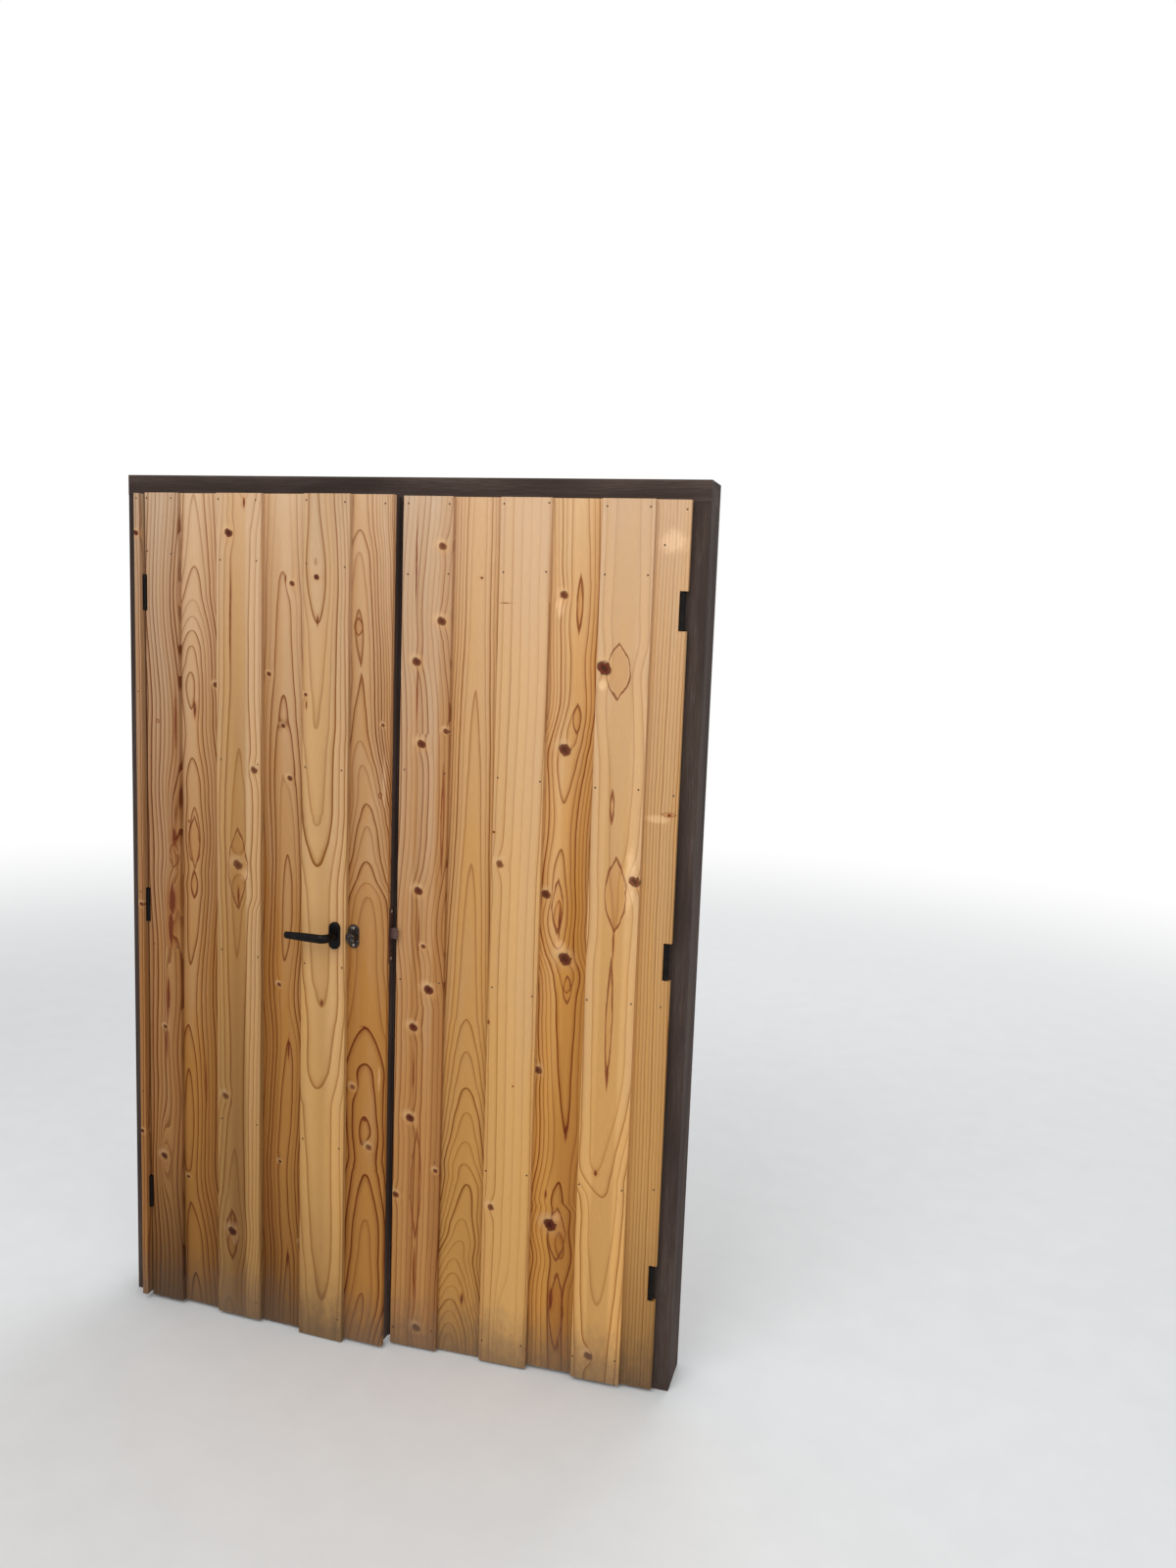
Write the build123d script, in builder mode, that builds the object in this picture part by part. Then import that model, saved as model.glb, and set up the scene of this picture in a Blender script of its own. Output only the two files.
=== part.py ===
from build123d import *
import os
from math import cos, radians, sin

os.makedirs("parts", exist_ok=True)

# Fixed frame
opening_width = 1262.0
jamb_thick = 45.0
jamb_depth = 110.0
lining_thick = 14.0
lining_width = 110.0
lining_proud = 17.0
lining_foot = 17.0
stop_thick = 12.0
stop_width = 30.0
stop_clearance = 0.5
arris = 1.5

# Leaves, with the left one standing ajar
leaf_base = 10.0
leaf_height = 1936.0
left_leaf_width = 622.0
meeting_gap = 10.0
ajar_angle = 3.5
board_thick = 12.0
board_lap = 8.0
board_over_head = 6.0
board_under_rail = 8.0
board_over_jamb = 12.0
head_gap = 3.0
swing_room = 6.0
left_board_faces = (88.0, 101.0, 116.0, 106.0, 113.0, 98.0)
right_board_faces = (114.0, 106.0, 111.0, 108.0, 111.0, 72.0)
left_board_drops = (0.0, 1.0, 1.0, 3.0, 7.0, 2.0)
right_board_drops = (4.0, 5.0, 4.0, 0.0, 0.0, 2.0)
pack_width = 20.0

# Timber framing behind the boards
stile_width = 60.0
stile_thick = 30.0
rail_height = 60.0
tenon_length = 30.0
tenon_thick = 10.0
tenon_shoulder = 10.0
meeting_lip = 3.0
meeting_lip_depth = 8.0
lock_rail_height = 880.0
frieze_rail_drop = 151.0

# Butt hinges
hinge_gap = 3.0
hinge_height = 76.0
knuckle_radius = 5.5
knuckle_clearance = 0.3
pin_radius = 3.0
running_clearance = 0.05
pin_head_radius = 4.5
pin_head_height = 1.5
end_clearance = 0.3
plate_gap = 0.2
plate_margin = 2.0
notch_clearance = 1.0
left_axis_depth = 0.0
right_axis_depth = 15.0
left_hinge_feet = (230.0, 945.0)
right_hinge_feet = (209.0, 936.0)
top_hinge_drop = 262.0

# Lock and its furniture
lever_above_rail = 87.0
lever_from_seam = 26.0
cylinder_from_seam = 15.0
lock_case_height = 100.0
lock_case_thick = 16.0
lock_case_back = 21.0
lock_block_margin = 38.0
lock_block_side = 20.0
face_plate_height = 127.0
face_plate_width = 25.0
face_plate_thick = 3.0
face_plate_above_lever = 8.0
bolt_clearance = 0.2
latch_height = 24.0
latch_thick = 12.0
latch_projection = 18.0
latch_above_lever = 13.5
latch_nose = 3.0
latch_length = 56.0
dead_bolt_height = 20.0
dead_bolt_thick = 8.0
dead_bolt_below_lever = 22.0
dead_bolt_length = 50.0
strike_thick = 2.0
strike_width = 20.0
strike_clearance = 0.5
strike_pocket = 22.0
rose_width = 27.0
rose_height = 62.0
rose_thick = 7.0
rose_round = 2.5
spindle_side = 8.0
spindle_hole_radius = 6.5
neck_radius = 10.0
lever_length = 107.0
lever_projection = 44.5
lever_elbow = 15.0
lever_root = (10.0, 7.0)
lever_tip = (7.8, 5.4)
lever_tip_round = 3.0
lever_root_place = 0.2
neck_collar = 3.0
neck_shoulder = 0.5
neck_overlap = 1.0
escutcheon_width = 27.0
escutcheon_height = 54.0
escutcheon_thick = 3.0
escutcheon_round = 1.2
cylinder_radius = 11.0
cylinder_projection = 20.0
plug_radius = 6.5
plug_proud = 0.6
keyway_height = 8.0
keyway_width = 2.0
keyway_depth = 6.0
tail_height = 6.0
tail_thick = 2.5
tail_hole_radius = 4.0
turn_spigot_radius = 7.0
turn_hub_radius = 9.0
turn_hub_length = 7.0
turn_wing_height = 28.0
turn_wing_thick = 6.0
turn_wing_length = 13.0

# Barrel bolts inside the right leaf
bolt_radius = 6.0
bolt_length = 150.0
bolt_travel = 28.0
bolt_running_clearance = 0.08
bolt_plate_width = 36.0
bolt_plate_height = 124.0
bolt_plate_thick = 2.6
bolt_strap_height = 12.0
bolt_strap_inset = 6.0
bolt_end_gap = 7.0
bolt_plate_gap = 14.0
knob_radius = 3.5
knob_length = 20.0
knob_ball_radius = 6.0
keeper_thick = 2.0
keeper_width = 40.0
keeper_depth = 24.0
keeper_clearance = 0.7
keeper_hole_depth = 15.0

# Places worked out from the sizes above
leaf_front = -(2 * board_thick + swing_room)
stile_front = 2 * board_thick
leaf_back = stile_front + stile_thick
head_height = leaf_base + leaf_height - board_over_head + head_gap
outer_width = opening_width + 2 * jamb_thick
lining_face = -opening_width / 2 + lining_thick
left_edge = lining_face + hinge_gap
right_edge = left_edge + left_leaf_width + meeting_gap
right_frame_width = opening_width / 2 - hinge_gap - right_edge
right_leaf_width = right_frame_width + board_over_jamb
left_axis_x = lining_face + hinge_gap / 2
right_axis_x = opening_width / 2 - hinge_gap / 2
stop_front = leaf_front + leaf_back + stop_clearance
rail_tops = leaf_height - board_over_head
bottom_rail_height = board_under_rail + rail_height / 2
top_rail_height = rail_tops - rail_height / 2
frieze_rail_height = leaf_height - frieze_rail_drop
mid_rail_heights = (
    (bottom_rail_height + lock_rail_height) / 2,
    lock_rail_height,
    (lock_rail_height + frieze_rail_height) / 2,
    frieze_rail_height,
)
end_rail_heights = (bottom_rail_height, top_rail_height)
rail_heights = end_rail_heights + mid_rail_heights
plate_thick = (hinge_gap - plate_gap) / 2
plate_start = knuckle_radius + knuckle_clearance
knuckle_step = hinge_height / 3
top_hinge_foot = leaf_height - top_hinge_drop
left_hinges = left_hinge_feet + (top_hinge_foot,)
right_hinges = right_hinge_feet + (top_hinge_foot,)
board_count = len(left_board_faces)
bolt_x = stile_width / 2
bolt_bore = bolt_radius + bolt_running_clearance
rod_depth = bolt_plate_thick + bolt_bore
top_bolt_x = right_edge + bolt_x
top_bolt_y = leaf_front + leaf_back + rod_depth
keeper_hole_radius = bolt_radius + keeper_clearance


def seams(faces, width):
    """Board edges seen from the front, with the boards ripped to fill the width."""
    return [width * sum(faces[:count]) / sum(faces) for count in range(len(faces) + 1)]


def leaf_face(edge_x, axis_x, axis_depth, angle):
    """Front elevation of a leaf swung out about its hinges: x along it, y up, z outwards."""
    turn = radians(angle)
    across = edge_x - axis_x
    x = axis_x + across * cos(turn) - axis_depth * sin(turn)
    y = leaf_front + axis_depth - across * sin(turn) - axis_depth * cos(turn)
    return Plane(
        origin=(x, y, leaf_base),
        x_dir=(cos(turn), -sin(turn), 0),
        z_dir=(-sin(turn), -cos(turn), 0),
    )


def plan(face, height):
    """Plan of a leaf at a height above its foot: x along it, y from its front inwards."""
    return Plane(origin=face.origin + face.y_dir * height, x_dir=face.x_dir, z_dir=(0, 0, 1))


def save(piece, name):
    """Label a finished piece and write its file."""
    piece.part.label = name
    export_step(piece.part, f"parts/{name}.step")


def cut_window(face, left, right, bottom, top, depth, thick):
    """A straight block given by its edges in a leaf's front elevation."""
    with BuildPart() as block:
        with BuildSketch(face.offset(-depth)):
            with Locations(((left + right) / 2, (bottom + top) / 2)):
                Rectangle(right - left, top - bottom)
        extrude(amount=-thick)
    return block


def bored(face, x, height, radius, depth, thick):
    """A round bar square to a leaf's face."""
    with BuildPart() as bar:
        with BuildSketch(face.offset(-depth)):
            with Locations((x, height)):
                Circle(radius)
        extrude(amount=-thick)
    return bar


def board(face, left, right, drop, depth, cuts=()):
    """A cladding board with eased front arrises, less what is let into it."""
    with BuildPart() as piece:
        with BuildSketch(face.offset(-depth)):
            with Locations(((left + right) / 2, (leaf_height - drop) / 2)):
                Rectangle(right - left, leaf_height + drop)
        extrude(amount=-board_thick)
        front_edges = piece.edges().filter_by(Axis.Z).group_by(Axis(face.origin, face.z_dir))[-1]
        fillet(front_edges, arris)
        for cut in cuts:
            add(cut.part, mode=Mode.SUBTRACT)
    return piece


def stile(face, left, inner_side, cuts=(), lip=0):
    """An upright of a leaf's frame, mortised on its inner side, with a lip that closes the meeting gap."""
    if inner_side > 0:
        mortise_x = left + stile_width - tenon_length / 2
    else:
        mortise_x = left + tenon_length / 2
    with BuildPart() as piece:
        with BuildSketch(face.offset(-stile_front)):
            with Locations((left + stile_width / 2, (board_under_rail + rail_tops) / 2)):
                Rectangle(stile_width, rail_tops - board_under_rail)
        extrude(amount=-stile_thick)
        with BuildSketch(face.offset(-stile_front - (stile_thick - tenon_thick) / 2)):
            with Locations(*[(mortise_x, height) for height in rail_heights]):
                Rectangle(tenon_length, rail_height - 2 * tenon_shoulder)
        extrude(amount=-tenon_thick, mode=Mode.SUBTRACT)
        if lip:
            with BuildSketch(face.offset(-leaf_back)):
                with Locations((left + stile_width, (board_under_rail + rail_tops) / 2)):
                    Rectangle(2 * lip, rail_tops - board_under_rail)
            extrude(amount=meeting_lip_depth)
        for cut in cuts:
            add(cut.part, mode=Mode.SUBTRACT)
    return piece


def rails(face, left, right, heights):
    """Rails between two stiles, each with a tenon at both ends."""
    places = [((left + right) / 2, height) for height in heights]
    with BuildPart() as piece:
        with BuildSketch(face.offset(-stile_front)):
            with Locations(*places):
                Rectangle(right - left, rail_height)
        extrude(amount=-stile_thick)
        with BuildSketch(face.offset(-stile_front - (stile_thick - tenon_thick) / 2)):
            with Locations(*places):
                Rectangle(right - left + 2 * tenon_length, rail_height - 2 * tenon_shoulder)
        extrude(amount=-tenon_thick)
    return piece


def hinge_half(seat, side, reach, knuckles):
    """Half of a butt hinge: a plate beside the pin's axis, curled round the pin at its knuckles."""
    plate_x = side * (plate_gap + plate_thick) / 2
    with BuildPart() as half:
        with BuildSketch(seat):
            with Locations((plate_x, (plate_start + reach) / 2)):
                Rectangle(plate_thick, reach - plate_start)
        extrude(amount=hinge_height)
        for low, high in knuckles:
            with BuildSketch(seat.offset(low)):
                Circle(knuckle_radius)
                with Locations((plate_x, plate_start / 2)):
                    Rectangle(plate_thick, plate_start)
                Circle(pin_radius + running_clearance, mode=Mode.SUBTRACT)
            extrude(amount=high - low)
    return half


def group(pieces):
    """Like pieces that share one node."""
    with BuildPart() as together:
        for piece in pieces:
            add(piece.part)
    return together


def hinge_seat(face, axis_x, axis_depth, foot):
    """Plan of a hinge at its foot, with the origin on the pin's axis and y into the building."""
    level = plan(face, foot)
    return level.shift_origin(level.from_local_coords(Vector(axis_x, axis_depth, 0)))


def hinge_pin(seat):
    """A headed pin dropped through the knuckles."""
    with BuildPart() as pin:
        with BuildSketch(seat):
            Circle(pin_radius)
        extrude(amount=hinge_height)
        with BuildSketch(seat.offset(hinge_height)):
            Circle(pin_head_radius)
        extrude(amount=pin_head_height)
        chamfer(pin.edges().group_by(Axis.Z)[-1], pin_head_height / 3)
    return pin


# Elevations of the two leaves, and of the left one as it stands when shut
left_face = leaf_face(left_edge, left_axis_x, left_axis_depth, ajar_angle)
left_shut_face = leaf_face(left_edge, left_axis_x, left_axis_depth, 0)
right_face = leaf_face(right_edge, right_axis_x, right_axis_depth, 0)
left_seams = seams(left_board_faces, left_leaf_width)
right_seams = seams(right_board_faces, right_leaf_width)
left_axis_along = left_axis_x - left_edge
right_axis_along = right_axis_x - right_edge

# Frame: two jambs, the head across them, the new lining and the planted stops
for name, side in (("left_jamb", -1), ("right_jamb", 1)):
    with BuildPart() as jamb:
        with BuildSketch():
            with Locations((side * (opening_width + jamb_thick) / 2, jamb_depth / 2)):
                Rectangle(jamb_thick, jamb_depth)
        extrude(amount=head_height)
        fillet(jamb.edges().filter_by(Axis.Z).group_by(Axis.Y)[0], arris)
    save(jamb, name)

with BuildPart() as head_jamb:
    with BuildSketch(Plane.XY.offset(head_height)):
        with Locations((0, jamb_depth / 2)):
            Rectangle(outer_width, jamb_depth)
    extrude(amount=jamb_thick)
    fillet(head_jamb.edges().filter_by(Axis.X).group_by(Axis.Y)[0], arris)
    with BuildSketch(Plane.XY.offset(head_height)):
        with Locations((top_bolt_x, top_bolt_y)):
            Circle(keeper_hole_radius)
    extrude(amount=keeper_hole_depth, mode=Mode.SUBTRACT)
save(head_jamb, "head_jamb")

knuckle_room = knuckle_radius + notch_clearance
notch_height = hinge_height + 2 * plate_margin + pin_head_height
with BuildPart() as left_lining:
    with BuildSketch(Plane.XY.offset(lining_foot)):
        lining_front = leaf_front - lining_proud
        with Locations((lining_face - lining_thick / 2, lining_front + lining_width / 2)):
            Rectangle(lining_thick, lining_width)
    extrude(amount=head_height - lining_foot)
    fillet(left_lining.edges().filter_by(Axis.Z).group_by(Axis.Y)[0], arris)
    for foot in left_hinges:
        with BuildSketch(Plane.XY.offset(leaf_base + foot - plate_margin)):
            with Locations((left_axis_x, leaf_front + left_axis_depth)):
                Rectangle(2 * knuckle_room, 2 * knuckle_room)
        extrude(amount=notch_height, mode=Mode.SUBTRACT)
save(left_lining, "left_lining")

with BuildPart() as side_stops:
    with BuildSketch():
        stop_y = stop_front + stop_width / 2
        with Locations((lining_face + stop_thick / 2, stop_y), ((opening_width - stop_thick) / 2, stop_y)):
            Rectangle(stop_thick, stop_width)
    extrude(amount=head_height)
save(side_stops, "side_stops")

with BuildPart() as head_stop:
    stop_left = lining_face + stop_thick
    stop_right = opening_width / 2 - stop_thick
    with BuildSketch(Plane.XY.offset(head_height)):
        with Locations(((stop_left + stop_right) / 2, stop_y)):
            Rectangle(stop_right - stop_left, stop_width)
    extrude(amount=-stop_thick)
    with BuildSketch(Plane.XY.offset(head_height)):
        with Locations((top_bolt_x, top_bolt_y)):
            Circle(keeper_hole_radius)
    extrude(amount=-stop_thick, mode=Mode.SUBTRACT)
save(head_stop, "head_stop")

with BuildPart() as bolt_keeper:
    with BuildSketch(Plane.XY.offset(head_height - stop_thick)):
        with Locations((top_bolt_x, stop_front + keeper_depth / 2)):
            RectangleRounded(keeper_width, keeper_depth, arris)
        with Locations((top_bolt_x, top_bolt_y)):
            Circle(keeper_hole_radius, mode=Mode.SUBTRACT)
    extrude(amount=-keeper_thick)
save(bolt_keeper, "bolt_keeper")

# Hinges: the outer knuckles stay on the frame with the pin, the middle one turns with the leaf
outer_knuckles = ((0, knuckle_step - knuckle_clearance), (2 * knuckle_step + knuckle_clearance, hinge_height))
middle_knuckle = ((knuckle_step, 2 * knuckle_step),)
left_reach = leaf_back - left_axis_depth - plate_margin
right_reach = leaf_back - right_axis_depth - plate_margin
left_frame_seats = [hinge_seat(left_shut_face, left_axis_along, left_axis_depth, foot) for foot in left_hinges]
left_leaf_seats = [hinge_seat(left_face, left_axis_along, left_axis_depth, foot) for foot in left_hinges]
right_seats = [hinge_seat(right_face, right_axis_along, right_axis_depth, foot) for foot in right_hinges]

left_halves = [hinge_half(seat, -1, left_reach, outer_knuckles) for seat in left_frame_seats]
right_halves = [hinge_half(seat, 1, right_reach, outer_knuckles) for seat in right_seats]
save(group(left_halves), "left_jamb_hinge_halves")
save(group(right_halves), "right_jamb_hinge_halves")
save(group([hinge_pin(seat) for seat in left_frame_seats]), "left_hinge_pins")
save(group([hinge_pin(seat) for seat in right_seats]), "right_hinge_pins")
for place, left_seat, right_seat in zip(("bottom", "middle", "top"), left_leaf_seats, right_seats):
    save(hinge_half(left_seat, 1, left_reach, middle_knuckle), f"left_leaf_hinge_{place}")
    save(hinge_half(right_seat, -1, right_reach, middle_knuckle), f"right_leaf_hinge_{place}")

# Lock places in the left leaf
lever_x = left_seams[-2] - lever_from_seam
lever_z = lock_rail_height + lever_above_rail
cylinder_x = left_seams[-2] + cylinder_from_seam
lock_centre = stile_front + lock_case_thick / 2
case_left = lever_x - lock_case_back
case_right = left_leaf_width - face_plate_thick
plate_centre_z = lever_z + face_plate_above_lever
plate_low = plate_centre_z - face_plate_height / 2
plate_high = plate_centre_z + face_plate_height / 2
case_low = plate_centre_z - lock_case_height / 2
case_high = plate_centre_z + lock_case_height / 2
plate_front = lock_centre - face_plate_width / 2
latch_z = lever_z + latch_above_lever
dead_bolt_z = lever_z - dead_bolt_below_lever
block_left = case_left - lock_block_side
block_low = lock_rail_height + rail_height / 2
block_high = case_high + lock_block_margin

plate_recess = cut_window(
    left_face, case_right, left_leaf_width, plate_low, plate_high, plate_front, face_plate_width
)
case_recess = cut_window(left_face, case_left, case_right, case_low, case_high, stile_front, lock_case_thick)
spindle_way = bored(left_face, lever_x, lever_z, spindle_hole_radius, 0, leaf_back)
cylinder_way = bored(left_face, cylinder_x, lever_z, cylinder_radius, board_thick, board_thick)
tail_way = bored(left_face, cylinder_x, lever_z, tail_hole_radius, stile_front, stile_thick)

# Left leaf: frame, lock block, packing strip and boards
left_lock_stile_left = left_leaf_width - stile_width
save(stile(left_face, 0, 1), "left_hinge_stile")
lock_stile = stile(left_face, left_lock_stile_left, -1, (plate_recess, case_recess), meeting_lip)
save(lock_stile, "left_lock_stile")
save(rails(left_face, stile_width, left_lock_stile_left, end_rail_heights), "left_end_rails")
save(rails(left_face, stile_width, left_lock_stile_left, mid_rail_heights), "left_mid_rails")

with BuildPart() as lock_block:
    add(cut_window(left_face, block_left, left_lock_stile_left, block_low, block_high, stile_front, stile_thick))
    add(case_recess.part, mode=Mode.SUBTRACT)
    add(spindle_way.part, mode=Mode.SUBTRACT)
    add(tail_way.part, mode=Mode.SUBTRACT)
save(lock_block, "lock_block")

with BuildPart() as left_edge_pack:
    add(cut_window(left_face, 0, pack_width, board_under_rail, rail_tops, board_thick, board_thick))
save(left_edge_pack, "left_edge_pack")


def knuckle_notches(face, feet, low_x, high_x, depth):
    """Notches through a board's edge round each hinge's knuckles."""
    spans = [(foot - plate_margin, foot - plate_margin + notch_height) for foot in feet]
    return [cut_window(face, low_x, high_x, low, high, depth, board_thick) for low, high in spans]


for index in range(board_count):
    proud = index % 2 == 0
    last = index == board_count - 1
    lap_left = 0 if proud else board_lap
    lap_right = 0 if proud or last else board_lap
    depth = 0 if proud else board_thick
    left_cuts, right_cuts = [], []
    if index == 0:
        notch_right = left_axis_along + knuckle_room
        left_cuts = knuckle_notches(left_face, left_hinges, 0, notch_right, depth)
    if index == board_count - 2:
        left_cuts = [spindle_way]
    if last:
        notch_left = right_axis_along - knuckle_room
        left_cuts = [plate_recess, cylinder_way]
        right_cuts = knuckle_notches(right_face, right_hinges, notch_left, right_leaf_width, depth)
    left_board = board(
        left_face,
        left_seams[index] - lap_left,
        left_seams[index + 1] + lap_right,
        left_board_drops[index],
        depth,
        left_cuts,
    )
    right_board = board(
        right_face,
        right_seams[index] - lap_left,
        right_seams[index + 1] + lap_right,
        right_board_drops[index],
        depth,
        right_cuts,
    )
    save(left_board, f"left_board_{index + 1}")
    save(right_board, f"right_board_{index + 1}")

# Lock case with its two bolts, the face plate on the leaf's edge
latch_low = latch_z - latch_height / 2
dead_bolt_low = dead_bolt_z - dead_bolt_height / 2
latch_back = left_leaf_width - latch_length
dead_bolt_back = left_leaf_width - dead_bolt_length


def bolt_way(back, front, low, high, thick):
    """The channel of a bolt, with its running clearance all round."""
    half = thick / 2 + bolt_clearance
    return cut_window(
        left_face,
        back,
        front,
        low - bolt_clearance,
        high + bolt_clearance,
        lock_centre - half,
        2 * half,
    )


latch_way = bolt_way(
    latch_back - latch_projection, left_leaf_width, latch_low, latch_low + latch_height, latch_thick
)
dead_bolt_way = bolt_way(
    dead_bolt_back - bolt_clearance,
    left_leaf_width,
    dead_bolt_low,
    dead_bolt_low + dead_bolt_height,
    dead_bolt_thick,
)

with BuildPart() as lock_case:
    add(case_recess.part)
    add(latch_way.part, mode=Mode.SUBTRACT)
    add(dead_bolt_way.part, mode=Mode.SUBTRACT)
    add(spindle_way.part, mode=Mode.SUBTRACT)
    add(tail_way.part, mode=Mode.SUBTRACT)
save(lock_case, "lock_case")

with BuildPart() as face_plate:
    add(plate_recess.part)
    fillet(face_plate.edges().filter_by(Axis((0, 0, 0), left_face.x_dir)), arris)
    add(latch_way.part, mode=Mode.SUBTRACT)
    add(dead_bolt_way.part, mode=Mode.SUBTRACT)
save(face_plate, "face_plate")

latch_front = lock_centre - latch_thick / 2
with BuildPart() as latch_bolt:
    with BuildSketch(plan(left_face, latch_low)):
        with BuildLine():
            Polyline(
                (latch_back, latch_front),
                (left_leaf_width + latch_projection, latch_front),
                (left_leaf_width + latch_projection, latch_front + latch_nose),
                (left_leaf_width + latch_nose / 2, latch_front + latch_thick),
                (latch_back, latch_front + latch_thick),
                close=True,
            )
        make_face()
    extrude(amount=latch_height)
    nose_edges = latch_bolt.edges().group_by(Axis((0, 0, 0), left_face.x_dir))[-1].filter_by(Axis.Z)
    fillet(nose_edges, latch_nose / 3)
save(latch_bolt, "latch_bolt")

with BuildPart() as dead_bolt:
    add(
        cut_window(
            left_face,
            dead_bolt_back,
            left_leaf_width,
            dead_bolt_low,
            dead_bolt_low + dead_bolt_height,
            lock_centre - dead_bolt_thick / 2,
            dead_bolt_thick,
        )
    )
save(dead_bolt, "dead_bolt")


def rose(seat, x, height, width, tall, thick, edge_round, hole_radius):
    """A round-ended plate lying on a surface, bored for what turns in it."""
    with BuildPart() as plate:
        with BuildSketch(seat):
            with Locations((x, height)):
                SlotOverall(tall, width, rotation=90)
        extrude(amount=thick)
        fillet(plate.faces().sort_by(Axis(seat.origin, seat.z_dir))[-1].edges(), edge_round)
        with BuildSketch(seat):
            with Locations((x, height)):
                Circle(hole_radius)
        extrude(amount=thick, mode=Mode.SUBTRACT)
    return plate


def back_of(face, depth):
    """Elevation plane on a leaf's inner side, facing inwards, with x kept along the leaf."""
    inside = face.offset(-depth)
    return Plane(origin=inside.origin, x_dir=inside.x_dir, z_dir=-inside.z_dir)


left_back = back_of(left_face, leaf_back)
rose_bore = neck_radius + running_clearance
outside_rose = rose(left_face, lever_x, lever_z, rose_width, rose_height, rose_thick, rose_round, rose_bore)
inside_rose = rose(left_back, lever_x, -lever_z, rose_width, rose_height, rose_thick, rose_round, rose_bore)
save(outside_rose, "outside_rose")
save(inside_rose, "inside_rose")


def lever_handle(surface_depth, outwards):
    """A lever whose round neck turns in its rose, then bends into a tapering arm towards the hinges."""
    level = plan(left_face, lever_z)
    foot_depth = surface_depth + outwards * end_clearance
    arm_depth = surface_depth + outwards * lever_projection
    collar_depth = surface_depth + outwards * (rose_thick + neck_collar)
    neck_seat = Plane(
        origin=level.from_local_coords(Vector(lever_x, foot_depth, 0)),
        x_dir=(0, 0, 1),
        z_dir=left_face.z_dir * -outwards,
    )
    with BuildPart() as lever:
        with BuildSketch(neck_seat):
            Circle(neck_radius)
        extrude(amount=abs(collar_depth - foot_depth))
        with BuildLine(level) as route:
            FilletPolyline(
                (lever_x, collar_depth - outwards * neck_overlap),
                (lever_x, arm_depth),
                (lever_x - lever_length + lever_tip[1], arm_depth),
                radius=lever_elbow,
            )
        straight_neck = abs(arm_depth - collar_depth) + neck_overlap - lever_elbow
        neck_end = straight_neck / route.wire().length
        for place, (half_height, half_thick) in (
            (0, (neck_radius - neck_shoulder, neck_radius - neck_shoulder)),
            (neck_end + lever_root_place * (1 - neck_end), lever_root),
            (1, lever_tip),
        ):
            section = Plane(origin=route.wire() @ place, x_dir=(0, 0, 1), z_dir=route.wire() % place)
            with BuildSketch(section):
                Ellipse(half_height, half_thick)
        sweep(path=route.wire(), multisection=True)
        end = lever.faces().sort_by(Axis((0, 0, 0), left_face.x_dir))[0]
        fillet(end.edges(), lever_tip_round)
        with BuildSketch(neck_seat):
            Rectangle(spindle_side, spindle_side)
        extrude(amount=lever_projection / 2, mode=Mode.SUBTRACT)
    return lever


outside_lever = lever_handle(0, -1)
inside_lever = lever_handle(leaf_back, 1)
save(outside_lever, "outside_lever")
save(inside_lever, "inside_lever")

spindle_reach = lever_projection / 2 + end_clearance
with BuildPart() as lever_spindle:
    with BuildSketch(left_face.offset(spindle_reach)):
        with Locations((lever_x, lever_z)):
            Rectangle(spindle_side, spindle_side)
    extrude(amount=-leaf_back - 2 * spindle_reach)
save(lever_spindle, "lever_spindle")

# Key cylinder through the recessed board, and the thumb turn behind it
escutcheon_seat = left_face.offset(-board_thick)
cylinder_escutcheon = rose(
    escutcheon_seat,
    cylinder_x,
    lever_z,
    escutcheon_width,
    escutcheon_height,
    escutcheon_thick,
    escutcheon_round,
    cylinder_radius,
)
save(cylinder_escutcheon, "cylinder_escutcheon")

cylinder_front = left_face.offset(cylinder_projection - board_thick)
cylinder_length = cylinder_projection + board_thick
with BuildPart() as lock_cylinder:
    with BuildSketch(cylinder_front):
        with Locations((cylinder_x, lever_z)):
            Circle(cylinder_radius)
            Circle(plug_radius + running_clearance, mode=Mode.SUBTRACT)
    extrude(amount=-cylinder_length)
    rim = lock_cylinder.faces().sort_by(Axis(left_face.origin, left_face.z_dir))[-1].edges()
    fillet(rim.sort_by(SortBy.RADIUS)[-1], escutcheon_round)
save(lock_cylinder, "lock_cylinder")

tail_reach = leaf_back - stile_front + turn_hub_length
with BuildPart() as key_plug:
    with BuildSketch(cylinder_front.offset(plug_proud)):
        with Locations((cylinder_x, lever_z)):
            Circle(plug_radius)
    extrude(amount=-cylinder_length - plug_proud + end_clearance)
    rim = key_plug.faces().sort_by(Axis(left_face.origin, left_face.z_dir))[-1].edges()
    chamfer(rim, plug_proud / 2)
    with BuildSketch(cylinder_front.offset(plug_proud)):
        with Locations((cylinder_x, lever_z)):
            Rectangle(keyway_width, keyway_height)
    extrude(amount=-keyway_depth, mode=Mode.SUBTRACT)
    with BuildSketch(left_face.offset(-stile_front + end_clearance)):
        with Locations((cylinder_x, lever_z)):
            Rectangle(tail_thick, tail_height)
    extrude(amount=-tail_reach)
save(key_plug, "key_plug")

turn_bore = turn_spigot_radius + running_clearance
turn_plate = rose(
    left_back,
    cylinder_x,
    -lever_z,
    escutcheon_width,
    escutcheon_height,
    escutcheon_thick,
    escutcheon_round,
    turn_bore,
)
save(turn_plate, "turn_plate")

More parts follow.
